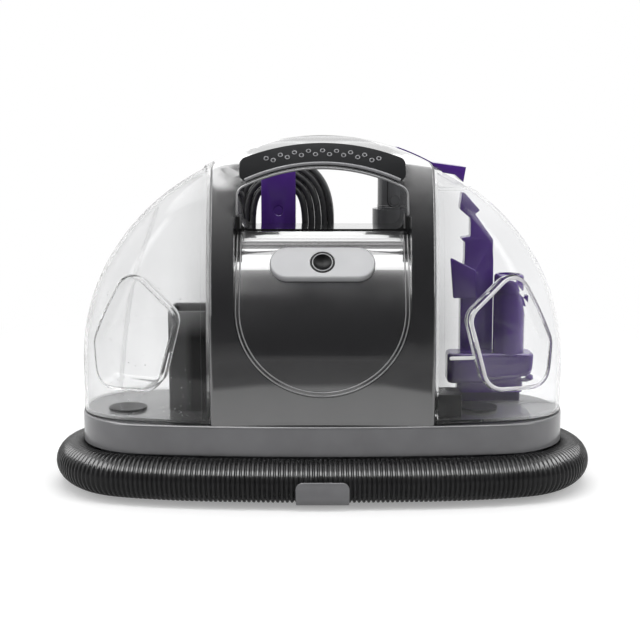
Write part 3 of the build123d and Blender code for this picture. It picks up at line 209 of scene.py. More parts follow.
def scaled(colour, share):
    """A colour made lighter or darker."""
    return tuple(min(1.0, channel * share) for channel in colour)


def moulded(name, colour, roughness, grain=1800, depth=0.00003, drift=0.12, shine=0.5, coat=0.0):
    """Moulded plastic: faint colour drift, uneven gloss and fine grain."""
    material, tree, shader, place = start_material(name)
    colour = tuple(colour)
    cloud = remap(tree, noise(tree, place, 28), 0, 1)
    tone = blend_colours(tree, cloud, scaled(colour, 1 - drift), scaled(colour, 1 + drift))
    paint(tree, shader, tone, remap(tree, noise(tree, place, 90), roughness - 0.05, roughness + 0.05))
    set_inputs(shader, Specular_IOR_Level=shine, Coat_Weight=coat, Coat_Roughness=0.16)
    bump(tree, shader, noise(tree, place, grain), 0.35, depth)
    return material


def gunmetal_finish():
    """Glossy metallic grey: fine flakes under a smooth clear coat."""
    material, tree, shader, place = start_material("gunmetal_gloss")
    colour = tuple(colours().gunmetal)
    cells = tree.nodes.new("ShaderNodeTexVoronoi")
    set_inputs(cells, Scale=2600)
    tree.links.new(place, cells.inputs["Vector"])
    flake = tree.nodes.new("ShaderNodeSeparateColor")
    tree.links.new(cells.outputs["Color"], flake.inputs["Color"])
    sparkle = remap(tree, flake.outputs["Red"], 0, 1, 0, 1)
    tone = blend_colours(tree, sparkle, scaled(colour, 0.8), scaled(colour, 1.35))
    paint(tree, shader, tone, remap(tree, noise(tree, place, 40), 0.16, 0.22))
    set_inputs(shader, Specular_IOR_Level=0.8, Coat_Weight=1.0, Coat_Roughness=0.04, Coat_IOR=1.9)
    bump(tree, shader, noise(tree, place, 260), 0.06, 0.00006)
    return material


# Painted shade and milkiness by place, as ranges of height and of distance from the middle: painted shade on
# the deck beside the tower, on the tanks' walls there and on the separator's duct; the tanks' milky floor
# further out; and the finger pocket's bead, whose milky white is a painted highlight
DECK_PAINTED_SHADE = 0.22
DECK_Z = (0.0608, 0.0616)
DECK_PAINTED_SHADE_X = (0.112, 0.178)
TOWER_PAINTED_SHADE = 0.72
TOWER_PAINTED_SHADE_X = (0.093, 0.122)
TOWER_PAINTED_SHADE_Z = (0.13, 0.2)
TANK_FLOOR_CLEARNESS = 0.72
TANK_FLOOR_X = (0.125, 0.17)
TANK_FLOOR_Z = (0.0652, 0.0675)
BEAD_FADE_X = (0.145, 0.185)
DUCT_PAINTED_SHADE_X = (-0.112, -0.106)
DUCT_PAINTED_SHADE_Z = (0.126, 0.148)


def from_middle(tree, place, low, high, start, end):
    """A value that goes from low to high with the distance from the machine's middle."""
    return remap(tree, math(tree, "ABSOLUTE", axis(tree, place, "X"), 0.0), low, high, start, end)


def base_finish():
    """The base's grey plastic, with painted shade on the deck beside the tower."""
    colour = tuple(colours().base_grey)
    material = moulded("grey_base", colour, 0.33, grain=1400, depth=0.00002, coat=0.7)
    tree = material.node_tree
    socket = tree.nodes["Principled BSDF"].inputs["Base Color"]
    place = tree.nodes["Texture Coordinate"].outputs["Object"]
    on_deck = remap(tree, axis(tree, place, "Z"), 0.0, 1.0, *DECK_Z)
    beside = from_middle(tree, place, 1.0, 0.0, *DECK_PAINTED_SHADE_X)
    shade = math(tree, "MULTIPLY", on_deck, beside)
    tone = blend_colours(tree, shade, socket.links[0].from_socket, scaled(colour, DECK_PAINTED_SHADE))
    tree.links.new(tone, socket)
    return material


def clear_finish(name, colour, rough_low, rough_high, in_tank=False, sheen=0.45):
    """Clear moulded plastic with haze and flow marks; in a tank, painted shade by the tower and a milky
    floor.
    """
    material, tree, shader, place = start_material(name)
    colour = tuple(colour)
    tone = blend_colours(tree, remap(tree, noise(tree, place, 22), 0, 1), scaled(colour, 0.965), colour)
    if in_tank:
        # Painted shade: the tank's wall is tinted darker beside the tower, the more so low down
        by_tower = from_middle(tree, place, 1.0, 0.0, *TOWER_PAINTED_SHADE_X)
        low_down = remap(tree, axis(tree, place, "Z"), 1.0, 0.35, *TOWER_PAINTED_SHADE_Z)
        shade = math(tree, "MULTIPLY", by_tower, low_down)
        tone = blend_colours(tree, shade, tone, scaled(colour, TOWER_PAINTED_SHADE))
        at_floor = remap(tree, axis(tree, place, "Z"), 1.0, 0.0, *TANK_FLOOR_Z)
        outwards = from_middle(tree, place, 0.0, 1.0 - TANK_FLOOR_CLEARNESS, *TANK_FLOOR_X)
        milk = math(tree, "MULTIPLY", at_floor, outwards)
        tree.links.new(math(tree, "SUBTRACT", 1.0, milk), shader.inputs["Transmission Weight"])
    else:
        set_inputs(shader, Transmission_Weight=1.0)
    paint(tree, shader, tone, remap(tree, noise(tree, place, 34), rough_low, rough_high, 0.4, 0.75))
    set_inputs(shader, IOR=1.12, Coat_Weight=0.35, Coat_Roughness=0.03, Coat_IOR=1.5)
    set_inputs(shader, Sheen_Weight=sheen, Sheen_Roughness=0.35)
    bump(tree, shader, noise(tree, place, 18), 0.08, 0.0006)
    return material


def bead_finish():
    """The milky bead of a finger pocket, a painted highlight along its edges, clearer towards its outer
    side.
    """
    material = clear_finish("clear_bead", (0.97, 0.955, 0.985), 0.1, 0.2)
    tree = material.node_tree
    place = tree.nodes["Texture Coordinate"].outputs["Object"]
    clearness = from_middle(tree, place, 0.25, 0.93, *BEAD_FADE_X)
    tree.links.new(clearness, tree.nodes["Principled BSDF"].inputs["Transmission Weight"])
    return material


def separator_finish():
    """Dark smoky duct with painted shade and reflection: lighter on its outer side and towards its open top.
    """
    material, tree, shader, place = start_material("separator_dark")
    across = remap(tree, axis(tree, place, "X"), 0, 1, *DUCT_PAINTED_SHADE_X)
    up = remap(tree, axis(tree, place, "Z"), 0, 1, *DUCT_PAINTED_SHADE_Z)
    cloud = math(tree, "SUBTRACT", math(tree, "MULTIPLY", noise(tree, place, 30), 0.3), 0.15)
    side = blend_colours(tree, math(tree, "ADD", across, cloud), (0.1, 0.1, 0.1), (0.012, 0.012, 0.012))
    tone = blend_colours(tree, up, side, (0.32, 0.32, 0.32))
    paint(tree, shader, tone, remap(tree, noise(tree, place, 90), 0.3, 0.5))
    set_inputs(shader, Specular_IOR_Level=0.25)
    return material


def steel_finish(name, colour, roughness):
    """Drawn steel with fine lines."""
    material, tree, shader, place = start_material(name)
    stretch = tree.nodes.new("ShaderNodeMapping")
    set_inputs(stretch, Scale=(900, 900, 60))
    tree.links.new(place, stretch.inputs["Vector"])
    lines = noise(tree, stretch.outputs["Vector"], 1.0)
    colour = tuple(colour)
    tone = blend_colours(tree, lines, scaled(colour, 0.75), scaled(colour, 1.15))
    paint(tree, shader, tone, remap(tree, lines, roughness - 0.08, roughness + 0.08))
    set_inputs(shader, Metallic=1.0)
    return material


def finish(name):
    """The finish of that name, made at its first use."""
    found = bpy.data.materials.get(name + "_finish")
    if found:
        return found
    tints = colours()
    makers = {
        "gunmetal_gloss": gunmetal_finish,
        "grey_base": base_finish,
        "black_plastic": lambda: moulded(name, tints.black, 0.38, shine=0.28),
        "grip_grey": lambda: moulded(name, tints.grip_grey, 0.45, shine=0.05),
        "wand_grey": lambda: moulded(name, tints.wand_grey, 0.22, depth=0.00001),
        "ring_grey": lambda: moulded(name, tints.ring_grey, 0.4),
        "cord_black": lambda: moulded(name, tints.cord, 0.3, drift=0.2, shine=0.45),
        "clear_bead": bead_finish,
        "button_black": lambda: moulded(name, scaled(tints.black, 0.4), 0.3, shine=0.12),
        # Painted highlight: the beads' light grey stands for light caught on the panel's and the hand gap's
        # edges
        "rim_highlight_grey": lambda: moulded(name, tints.rim_highlight_grey, 0.2, depth=0.000005, coat=1.0),
        "separator_dark": separator_finish,
        "satin_silver": lambda: moulded(name, tints.silver, 0.33, drift=0.05),
        "rubber_black": lambda: moulded(name, tints.rubber, 0.32, drift=0.2, shine=0.3, coat=0.3),
        "hose_rubber": lambda: moulded(name, scaled(tints.rubber, 2), 0.2, drift=0.2, shine=0.18),
        "purple": lambda: moulded(name, tints.purple, 0.22, drift=0.1, depth=0.00001, coat=0.6),
        "float_white": lambda: moulded(name, tints.white, 0.4, drift=0.04),
        "bristle": lambda: moulded(name, (0.035, 0.014, 0.1), 0.5),
        "steel": lambda: steel_finish(name, tints.steel, 0.28),
        "motor_steel": lambda: steel_finish(name, (0.42, 0.42, 0.43), 0.36),
        "clear": lambda: clear_finish(name, tints.clear_tank, 0.03, 0.09, in_tank=True, sheen=0.22),
        "rib_smoke": lambda: clear_finish(name, (0.9, 0.9, 0.9), 0.4, 0.5),
        "smoke_clear": lambda: clear_finish(name, tints.smoke_tank, 0.06, 0.2, in_tank=True),
    }
    return makers[name]()


def dress(*names, look=None):
    """Gives CAD nodes the finish of their material slot, or a look of their own."""
    slots = {row["node"]: row["material_slot"] for row in frame["record"]["subparts"]}
    for name in names:
        mesh = nodes[name].data
        mesh.materials.clear()
        mesh.materials.append(finish(look or slots[name]))


def linked(name, data):
    """A new object in the scene."""
    item = bpy.data.objects.new(name, data)
    bpy.context.scene.collection.objects.link(item)
    return item


def add_piece(name, mesh, body, slot, stands_for=(), look=None):
    """Links a mesh as a piece that rides on a body, with its slot's finish or a look of its own."""
    piece = linked(name, mesh)
    mesh.materials.clear()
    mesh.materials.append(finish(look or slot))
    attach(piece, body)
    if stands_for:
        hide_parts(*stands_for)
    return piece


def mesh_from(form, name, smooth=True):
    """Turns a bmesh into a mesh and frees it."""
    mesh = bpy.data.meshes.new(name)
    form.normal_update()
    form.to_mesh(mesh)
    form.free()
    if smooth:
        mesh.shade_smooth()
    return mesh


def merged(node):
    """A bmesh of a CAD node with its triangles joined."""
    form = bmesh.new()
    form.from_mesh(nodes[node].data)
    bmesh.ops.remove_doubles(form, verts=form.verts, dist=0.00001)
    return form


def cut_level(form, z, **options):
    """Cuts a bmesh along a level plane."""
    everything = form.verts[:] + form.edges[:] + form.faces[:]
    bmesh.ops.bisect_plane(form, geom=everything, plane_co=(0, 0, z), plane_no=(0, 0, 1), **options)


def smooth_copy(node, slot, body, angle=32, rounding=0.0, look=None):
    """A copy of a CAD node with its triangles joined, sharp edges rounded and curves shaded smooth."""
    form = merged(node)
    if rounding:
        bmesh.ops.dissolve_limit(form, angle_limit=radians(1), verts=form.verts, edges=form.edges)
        sharp = [edge for edge in form.edges if edge.calc_face_angle(0) > radians(angle)]
        bmesh.ops.bevel(
            form, geom=sharp, offset=rounding, offset_type="OFFSET", segments=3, profile=0.5, affect="EDGES",
            clamp_overlap=True, material=-1,
        )
    for edge in form.edges:
        edge.smooth = len(edge.link_faces) == 2 and edge.calc_face_angle(0) < radians(angle)
    for face in form.faces:
        face.smooth = True
    mesh = mesh_from(form, node + "_smooth", smooth=False)
    return add_piece(node + "_smooth", mesh, body, slot, (node,), look)


def surface(node):
    """A search tree of a CAD node's faces."""
    mesh = nodes[node].data
    return BVHTree.FromPolygons([v.co for v in mesh.vertices], [p.vertices for p in mesh.polygons])


# Rays start this far in front or behind
OUTSIDE_Y = 0.3


def front_of(faces, x, z):
    """The point and normal where a line along +Y from the front first meets the faces."""
    point, normal, _, _ = faces.ray_cast(Vector((x, -OUTSIDE_Y, z)), Vector((0, 1, 0)))
    return point, normal


def standing(point, normal):
    """A matrix that puts a piece on a point, its Z axis along the normal."""
    return Matrix.Translation(point) @ normal.to_track_quat("Z", "Y").to_matrix().to_4x4()


def curve_along(name, kind, points):
    """A curve of one spline of that kind with those control points, and the spline."""
    curve = bpy.data.curves.new(name, "CURVE")
    curve.dimensions = "3D"
    spline = curve.splines.new(kind)
    spline.points.add(len(points) - 1)
    for knot, point in zip(spline.points, points):
        knot.co = (*point, 1)
    return curve, spline


def make_round(curve, radius, sides):
    """Gives a curve a round section and closed ends."""
    curve.bevel_depth = radius
    curve.bevel_resolution = sides
    curve.use_fill_caps = True


def curve_mesh(curve):
    """A mesh read from a curve."""
    holder = linked(curve.name + "_holder", curve)
    bpy.context.view_layer.update()
    mesh = bpy.data.meshes.new_from_object(holder)
    bpy.data.objects.remove(holder)
    return mesh


def tube_mesh(name, points, radius, cyclic=False, sides=2):
    """A round bead along points, closed at its ends."""
    curve, spline = curve_along(name, "POLY", points)
    spline.use_cyclic_u = cyclic
    make_round(curve, radius, sides)
    mesh = curve_mesh(curve)
    bpy.data.curves.remove(curve)
    mesh.shade_smooth()
    return mesh


def joined(name, meshes, matrices=None):
    """One mesh of several, each moved by its matrix."""
    form = bmesh.new()
    for index, mesh in enumerate(meshes):
        old = len(form.verts)
        form.from_mesh(mesh)
        form.verts.ensure_lookup_table()
        if matrices:
            bmesh.ops.transform(form, matrix=matrices[index], verts=form.verts[old:])
    for mesh in set(meshes):
        bpy.data.meshes.remove(mesh)
    return mesh_from(form, name)


def ring_mesh(radius, thickness, steps=16, sides=6):
    """A ring round the Z axis."""
    form = bmesh.new()
    made = bmesh.ops.create_circle(form, segments=sides, radius=thickness)
    turn = Matrix.Translation((radius, 0, 0)) @ Matrix.Rotation(pi / 2, 4, "X")
    bmesh.ops.transform(form, matrix=turn, verts=made["verts"])
    bmesh.ops.spin(
        form, geom=form.verts[:] + form.edges[:], cent=(0, 0, 0), axis=(0, 0, 1), angle=2 * pi, steps=steps,
        use_merge=True,
    )
    bmesh.ops.recalc_face_normals(form, faces=form.faces)
    return mesh_from(form, "ring")


def cord_curve(name, points):
    """A curve of one smooth spline with those control points."""
    curve, spline = curve_along(name, "NURBS", points)
    spline.order_u = 3
    spline.use_endpoint_u = True
    spline.resolution_u = 10
    return curve


def curve_points(curve):
    """Points read from a curve with no bevel."""
    line = curve_mesh(curve)
    points = [vertex.co.copy() for vertex in line.vertices]
    bpy.data.meshes.remove(line)
    return points


def line_length(points):
    """Length along a row of points."""
    return sum((b - a).length for a, b in zip(points, points[1:]))


# The hose's route, from its socket in the base, once round the plinth on one level and up into the wand
HOSE_Z = 0.02025
HOSE_LAP = (
    (0.028, 0.07945), (-0.07745, 0.07945), (-0.15745, 0.06745), (-0.18645, 0.05245), (-0.20695, 0.019),
    (-0.20695, -0.019), (-0.18645, -0.05245), (-0.15745, -0.06745), (-0.07745, -0.07945),
    (0.07745, -0.07945), (0.15745, -0.06745), (0.18645, -0.05245), (0.20695, -0.019), (0.20695, 0.019),
    (0.18645, 0.05245), (0.15745, 0.06995),
)
HOSE_RISE = [
    (0.122, 0.079, 0.02175), (0.086, 0.08, 0.04125), (0.0635, 0.08, 0.07525), (0.0635, 0.08, 0.108),
]
HOSE_POINTS = [(x, y, HOSE_Z) for x, y in HOSE_LAP] + HOSE_RISE
# One rib of the hose: shares of its pitch along the hose and of its depth under the crest
RIB_HALF = ((0.0, 1.0), (0.12, 0.86), (0.26, 0.12), (0.38, 0.0))
RIB_PROFILE = RIB_HALF + tuple((1.0 - along, down) for along, down in reversed(RIB_HALF))


class CLEANER_OT_hose(bpy.types.Operator):
    """Makes the ribbed hose that is wrapped round the base"""

    bl_idname = "cleaner.hose"
    bl_label = "Hose"

    def execute(self, context):
        size = sizes()
        curve = cord_curve("hose_route", HOSE_POINTS)
        line = curve_points(curve)
        length = line_length(line)
        count = round(length / size.rib_pitch)
        pitch = length / count
        form = bmesh.new()
        row = [
            form.verts.new((along * pitch, 0, size.hose_radius - down * size.rib_depth))
            for along, down in RIB_PROFILE
        ]
        profile = [form.edges.new(pair) for pair in zip(row, row[1:])]
        bmesh.ops.spin(
            form, geom=row + profile, cent=(0, 0, 0), axis=(1, 0, 0), angle=2 * pi, steps=28, use_merge=True
        )
        bmesh.ops.recalc_face_normals(form, faces=form.faces)
        rib = linked("hose_rib", mesh_from(form, "hose_rib"))
        route = linked("hose_route", curve)
        ribs = rib.modifiers.new("Ribs", "ARRAY")
        ribs.use_relative_offset = False
        ribs.use_constant_offset = True
        ribs.constant_offset_displace = (pitch, 0, 0)
        ribs.count = count
        ribs.use_merge_vertices = True
        ribs.merge_threshold = 0.00002
        bend = rib.modifiers.new("Route", "CURVE")
        bend.object = route
        bend.deform_axis = "POS_X"
        context.view_layer.update()
        mesh = bpy.data.meshes.new_from_object(rib.evaluated_get(context.evaluated_depsgraph_get()))
        mesh.name = "hose_ribbed"
        bpy.data.objects.remove(rib)
        bpy.data.objects.remove(route)
        piece = add_piece("hose_ribbed", mesh, "machine", "rubber_black", ("hose",), look="hose_rubber")
        lit = bpy.data.collections.new("hose_light")
        lit.objects.link(piece)
        bpy.data.objects["hose_lamp"].light_linking.receiver_collection = lit
        return {"FINISHED"}


# The cord's winding: a flat loop round two hubs on the post, in two layers of five strands, between a lead
# from the strain relief and the tail that leaves the last turn for the plug
POST_X = -0.0382
HUB_LOW_Z = 0.115
HUB_HIGH_Z = 0.223
LAYER_Y = (0.06785, 0.07355)
STRAND_RADII = (0.02305, 0.02875, 0.03445, 0.04015, 0.04585)
RELIEF_TOP_Z = 0.086
LEAD_Z = (RELIEF_TOP_Z, 0.12, 0.17)
LAST_TURN_COUNT = 5
TAIL_X = -0.08405
TAIL_YZ = ((0.07355, 0.142), (0.077, 0.124), (0.083, 0.112), (0.084, 0.104))


def loop_points(radius, y, next_radius, next_y):
    """Control points of one turn, from the right side over to the left, easing to the next at its foot."""
    corner = 1 / cos(radians(22.5))
    points = []
    for step in range(4):
        angle = radians(22.5 + 45 * step)
        points.append((POST_X + corner * radius * cos(angle), y, HUB_HIGH_Z + corner * radius * sin(angle)))
    for share in (1 / 3, 2 / 3):
        points.append((POST_X - radius, y, HUB_HIGH_Z + share * (HUB_LOW_Z - HUB_HIGH_Z)))
    for step in range(4):
        angle = radians(202.5 + 45 * step)
        share = (step + 0.5) / 4
        ease = radius + share * (next_radius - radius)
        depth = y + share * (next_y - y)
        points.append((POST_X + corner * ease * cos(angle), depth, HUB_LOW_Z + corner * ease * sin(angle)))
    for share in (1 / 3, 2 / 3):
        points.append((POST_X + next_radius, next_y, HUB_LOW_Z + share * (HUB_HIGH_Z - HUB_LOW_Z)))
    return points


def winding_points():
    """Control points of the whole cord, from the strain relief to the plug."""
    turns = [(radius, LAYER_Y[0]) for radius in reversed(STRAND_RADII)]
    turns += [(radius, LAYER_Y[1]) for radius in STRAND_RADII]
    start_x = POST_X + turns[0][0]
    points = [(start_x, LAYER_Y[0], z) for z in LEAD_Z]
    for here, there in zip(turns, turns[1:]):
        points += loop_points(*here, *there)
    last = loop_points(*turns[-1], *turns[-1])
    return points + last[:LAST_TURN_COUNT] + [(TAIL_X, *point) for point in TAIL_YZ]


class CLEANER_OT_cord(bpy.types.Operator):
    """Winds the power cord on its post, from its strain relief to its plug"""

    bl_idname = "cleaner.cord"
    bl_label = "Power cord"

    def execute(self, context):
        curve = cord_curve("power_cord", winding_points())
        length = line_length(curve_points(curve))
        make_round(curve, sizes().cord_diameter / 2, 3)
        piece = linked("power_cord", curve)
        curve.materials.append(finish("cord_black"))
        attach(piece, "machine")
        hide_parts("cord_coil", "cord_lead", "cord_tail")
        dress("plug_prongs", "cord_gland")
        dress("power_plug", look="cord_black")
        return {"FINISHED"}


# The front panel's outline, and how far inside it its two beads run
PANEL_HALF_X = 0.0695
PANEL_LOW_Z = 0.085
PANEL_TOP_Z = 0.2095
PANEL_BEAD_INSETS = (0.0009, 0.0038)


def panel_rim(inset):
    """Points of the shield-shaped rim, down its left side, round its foot and up its right side."""
    radius = PANEL_HALF_X - inset
    middle_z = PANEL_LOW_Z + PANEL_HALF_X
    rise = [middle_z + (PANEL_TOP_Z - middle_z) * step / 24 for step in range(25)]
    left = [(-radius, z) for z in reversed(rise)]
    turns = [pi + pi * step / 60 for step in range(1, 60)]
    foot = [(radius * cos(turn), middle_z + radius * sin(turn)) for turn in turns]
    return left + foot + [(-x, z) for x, z in reversed(left)]


# The hand gap under the handle: its half width, its foot, the middle and radius of its upper corners and of
# its arch, and the bead along its edge
GAP_HALF_X = 0.0665
GAP_LOW_Z = 0.2135
GAP_CORNER = (0.0595, 0.2421)
GAP_CORNER_RADIUS = 0.007
GAP_ARCH_Z = 0.1163
GAP_ARCH_RADIUS = 0.1462
GAP_BEAD_INSET = 0.0009
GAP_BEAD_RADIUS = 0.0009


def gap_rim():
    """Points round the hand gap's front edge, up its left side, along its arch and down its right side."""
    side = GAP_HALF_X + GAP_BEAD_INSET
    corner_x, corner_z = GAP_CORNER
    radius = GAP_CORNER_RADIUS + GAP_BEAD_INSET
    lean = atan2(corner_x, corner_z - GAP_ARCH_Z)
    left = [(-side, GAP_LOW_Z + (corner_z - GAP_LOW_Z) * step / 12) for step in range(12)]
    for step in range(9):
        turn = pi / 2 + (lean - pi / 2) * step / 8
        left.append((-corner_x - radius * sin(turn), corner_z + radius * cos(turn)))
    radius = GAP_ARCH_RADIUS + GAP_BEAD_INSET
    turns = [lean * step / 30 for step in range(-29, 30)]
    arch = [(radius * sin(turn), GAP_ARCH_Z + radius * cos(turn)) for turn in turns]
    return left + arch + [(-x, z) for x, z in reversed(left)]


# The panel's upper lip: where it starts and ends, and how it rises from the roll
LIP_LOW_Z = 0.1985
LIP_TOP_Z = 0.2121
LIP_SLOPE = 0.361
LIP_BEND = 11.9
LIP_STEPS = 17


def lip_height(z):
    """How far the panel's upper lip stands proud of its roll at a height."""
    rise = max(0.0, z - LIP_LOW_Z)
    return LIP_SLOPE * rise + LIP_BEND * rise**2


def lip_on_panel(mesh):
    """Raises the upper lip of the panel's roll."""
    form = bmesh.new()
    form.from_mesh(mesh)
    for step in range(LIP_STEPS):
        cut_level(form, LIP_LOW_Z + (LIP_TOP_Z - LIP_LOW_Z) * step / LIP_STEPS)
    for vertex in form.verts:
        vertex.co.y -= lip_height(vertex.co.z)
    form.normal_update()
    form.to_mesh(mesh)
    form.free()


class CLEANER_OT_shells(bpy.types.Operator):
    """Dresses the tower, its panel and the base"""

    bl_idname = "cleaner.shells"
    bl_label = "Tower and base"

    def execute(self, context):
        for name in ("front_housing", "rear_housing"):
            smooth_copy(name, "gunmetal_gloss", "machine")
        lip_on_panel(smooth_copy("front_panel", "gunmetal_gloss", "machine").data)
        panel = surface("front_panel")
        # The beads' light grey finish is a painted highlight along the panel's and the hand gap's edges
        beads = []
        for inset in PANEL_BEAD_INSETS:
            rim = [front_of(panel, x, z)[0] - Vector((0, lip_height(z), 0)) for x, z in panel_rim(inset)]
            beads.append(tube_mesh("panel_bead", rim, sizes().bead_radius))
        add_piece("panel_beads", joined("panel_beads", beads), "machine", "gunmetal_gloss", look="rim_highlight_grey")
        housing = surface("front_housing")
        rim = [front_of(housing, x, z)[0] for x, z in gap_rim()]
        bead = tube_mesh("gap_bead", rim, GAP_BEAD_RADIUS)
        add_piece("gap_bead", bead, "machine", "gunmetal_gloss", look="rim_highlight_grey")
        dress("base_tray", "base_plate", "rubber_feet", "base_screws", "hose_port")
        smooth_copy("hose_clip", "grey_base", "machine", rounding=0.0008)
        return {"FINISHED"}


# Where a tank's finger pocket lies, how high over the tank's foot its gasket runs and how thick it is, and
# how near the ends of a closed row lie
POCKET_X = (0.105, 0.195)
POCKET_BACK_Y = -0.02
POCKET_Z = (0.085, 0.19)
GASKET_RISE = 0.0005
GASKET_RADIUS = 0.0005
SAME_POINT = 0.0005


def longest_loop(edges):
    """Points along the longest closed row of joined edges."""
    left = dict.fromkeys(edges)
    rows = []
    while left:
        edge = next(iter(left))
        row = list(edge.verts)
        while edge:
            del left[edge]
            edge = next((other for other in row[-1].link_edges if other in left), None)
            if edge:
                row.append(edge.other_vert(row[-1]))
        rows.append([vertex.co.copy() for vertex in row])
    points = max(rows, key=len)
    if (points[0] - points[-1]).length < SAME_POINT:
        points.pop()
    return points


def pocket_rim(tank):
    """Points along the rim of a tank's finger pocket."""
    form = merged(tank)
    rim = []
    for edge in form.edges:
        middle = (edge.verts[0].co + edge.verts[1].co) / 2
        across = POCKET_X[0] < abs(middle.x) < POCKET_X[1]
        inside = across and POCKET_Z[0] < middle.z < POCKET_Z[1] and middle.y < POCKET_BACK_Y
        if inside and edge.is_convex and edge.calc_face_angle(0) > radians(25):
            rim.append(edge)
    points = longest_loop(rim)
    form.free()
    return points


def foot_line(tank):
    """Points round the foot of a tank, just over the deck."""
    form = merged(tank)
    low_z = min(vertex.co.z for vertex in form.verts) + GASKET_RISE
    cut_level(form, low_z, clear_inner=True, clear_outer=True)
    points = longest_loop(form.edges)
    form.free()
    return points


# A moulded rib on the dirty tank's rear wall: x and z of its points
REAR_RIB = [
    (-0.1395, 0.2306), (-0.1455, 0.215), (-0.1515, 0.1992), (-0.158, 0.183), (-0.1634, 0.1669),
    (-0.1665, 0.151), (-0.1695, 0.1344), (-0.1732, 0.1075), (-0.176, 0.08), (-0.1772, 0.066),
]
REAR_RIB_RADIUS = 0.0019
# The fill mark: x and z of its middle, half length, radius and flatness
FILL_MARK = (0.1105, 0.1152)
FILL_MARK_HALF = 0.0088
FILL_MARK_RADIUS = 0.0015
FILL_MARK_FLAT = 0.25
# The drops in the dirty tank: how many, where they hang, how far inside the wall's face and how large
DROP_COUNT = 80
DROP_X = (0.104, 0.176)
DROP_LOW_Z = 0.068
DROP_RISE = 0.13
DROP_DEPTH = 0.0027
DROP_SIZE = (0.25, 0.65)


def fill_mark(faces):
    """A short raised bar on the clean tank's front that marks how far to fill it."""
    form = bmesh.new()
    bmesh.ops.create_uvsphere(form, u_segments=16, v_segments=13, radius=FILL_MARK_RADIUS)
    bmesh.ops.rotate(form, verts=form.verts, cent=(0, 0, 0), matrix=Matrix.Rotation(pi / 2, 3, "Y"))
    for vertex in form.verts:
        vertex.co.x += FILL_MARK_HALF if vertex.co.x > 0 else -FILL_MARK_HALF
    bmesh.ops.subdivide_edges(
        form, edges=[edge for edge in form.edges if edge.calc_length() > 0.01], cuts=12, use_grid_fill=True
    )
    for vertex in form.verts:
        x, z = FILL_MARK[0] + vertex.co.x, FILL_MARK[1] + vertex.co.z
        point = front_of(faces, x, z)[0]
        vertex.co = (x, point.y + FILL_MARK_FLAT * vertex.co.y, z)
    return mesh_from(form, "fill_mark")


def drops(faces):
    """Drops of water that hang on the inside of the dirty tank's front wall."""
    draw = Random(7)
    places = []
    for _ in range(DROP_COUNT):
        x = -draw.uniform(*DROP_X)
        z = DROP_LOW_Z + DROP_RISE * draw.random() ** 2
        point, normal = front_of(faces, x, z)
        size = draw.uniform(*DROP_SIZE)
        place = standing(point - DROP_DEPTH * normal, normal)
        places.append(place @ Matrix.Diagonal((size, size, 0.5 * size, 1)))
    form = bmesh.new()
    bmesh.ops.create_icosphere(form, subdivisions=1, radius=0.001)
    drop = mesh_from(form, "drop")
    return joined("tank_drops", [drop] * len(places), places)


class CLEANER_OT_tanks(bpy.types.Operator):
    """Makes the two clear tanks and dresses their fittings"""

    bl_idname = "cleaner.tanks"
    bl_label = "Tanks"

    def execute(self, context):
        for tank, slot, bead in (("clean_tank", "clear", 0.0015), ("dirty_tank", "smoke_clear", 0.0006)):
            smooth_copy(tank, slot, tank)
            # The clean tank's pocket bead is milky white, a painted highlight along the pocket's edges
            rim = tube_mesh("bead", pocket_rim(tank), bead, True)
            add_piece(tank + "_pocket_bead", rim, tank, slot, look="clear_bead" if slot == "clear" else slot)
            gasket = tube_mesh("gasket", foot_line(tank), GASKET_RADIUS, True)
            add_piece(tank + "_gasket", gasket, tank, "black_plastic")
        clean = surface("clean_tank")
        add_piece("fill_mark", fill_mark(clean), "clean_tank", "float_white")
        dirty = surface("dirty_tank")
        rib = [dirty.ray_cast(Vector((x, OUTSIDE_Y, z)), Vector((0, -1, 0)))[0] for x, z in REAR_RIB]
        rib = tube_mesh("rear_rib", rib, REAR_RIB_RADIUS, sides=4)
        add_piece("tank_rear_rib", rib, "dirty_tank", "smoke_clear", look="rib_smoke")
        add_piece("tank_drops", drops(dirty), "dirty_tank", "smoke_clear", look="clear_bead")
        dress("fill_cap", "tank_float", "drain_cap", "tank_nipple")
        smooth_copy("clean_valve", "black_plastic", "clean_tank", rounding=0.001, look="button_black")
        smooth_copy("separator_stack", "black_plastic", "dirty_tank", rounding=0.0015, look="separator_dark")
        return {"FINISHED"}


# The power button: its tilt, the y and z of its middle, and the radius of its bright ring
BUTTON_TILT = radians(38.7)
BUTTON_MIDDLE = (-0.0427, 0.187)
BUTTON_RING = 0.0079
# The grip's rings: the heights of their two rows in the middle and how the rows fall towards the ends. The
# lip along the grip's lower edge: its rise over the hand gap's arch, its half length and its radius.
RING_ROWS_Z = (0.277, 0.2742)
RING_FALL = 0.0063
RING_SPAN = 0.0456
GRIP_LIP_RISE = 0.0047
GRIP_LIP_HALF_X = 0.0615
GRIP_LIP_RADIUS = 0.0014


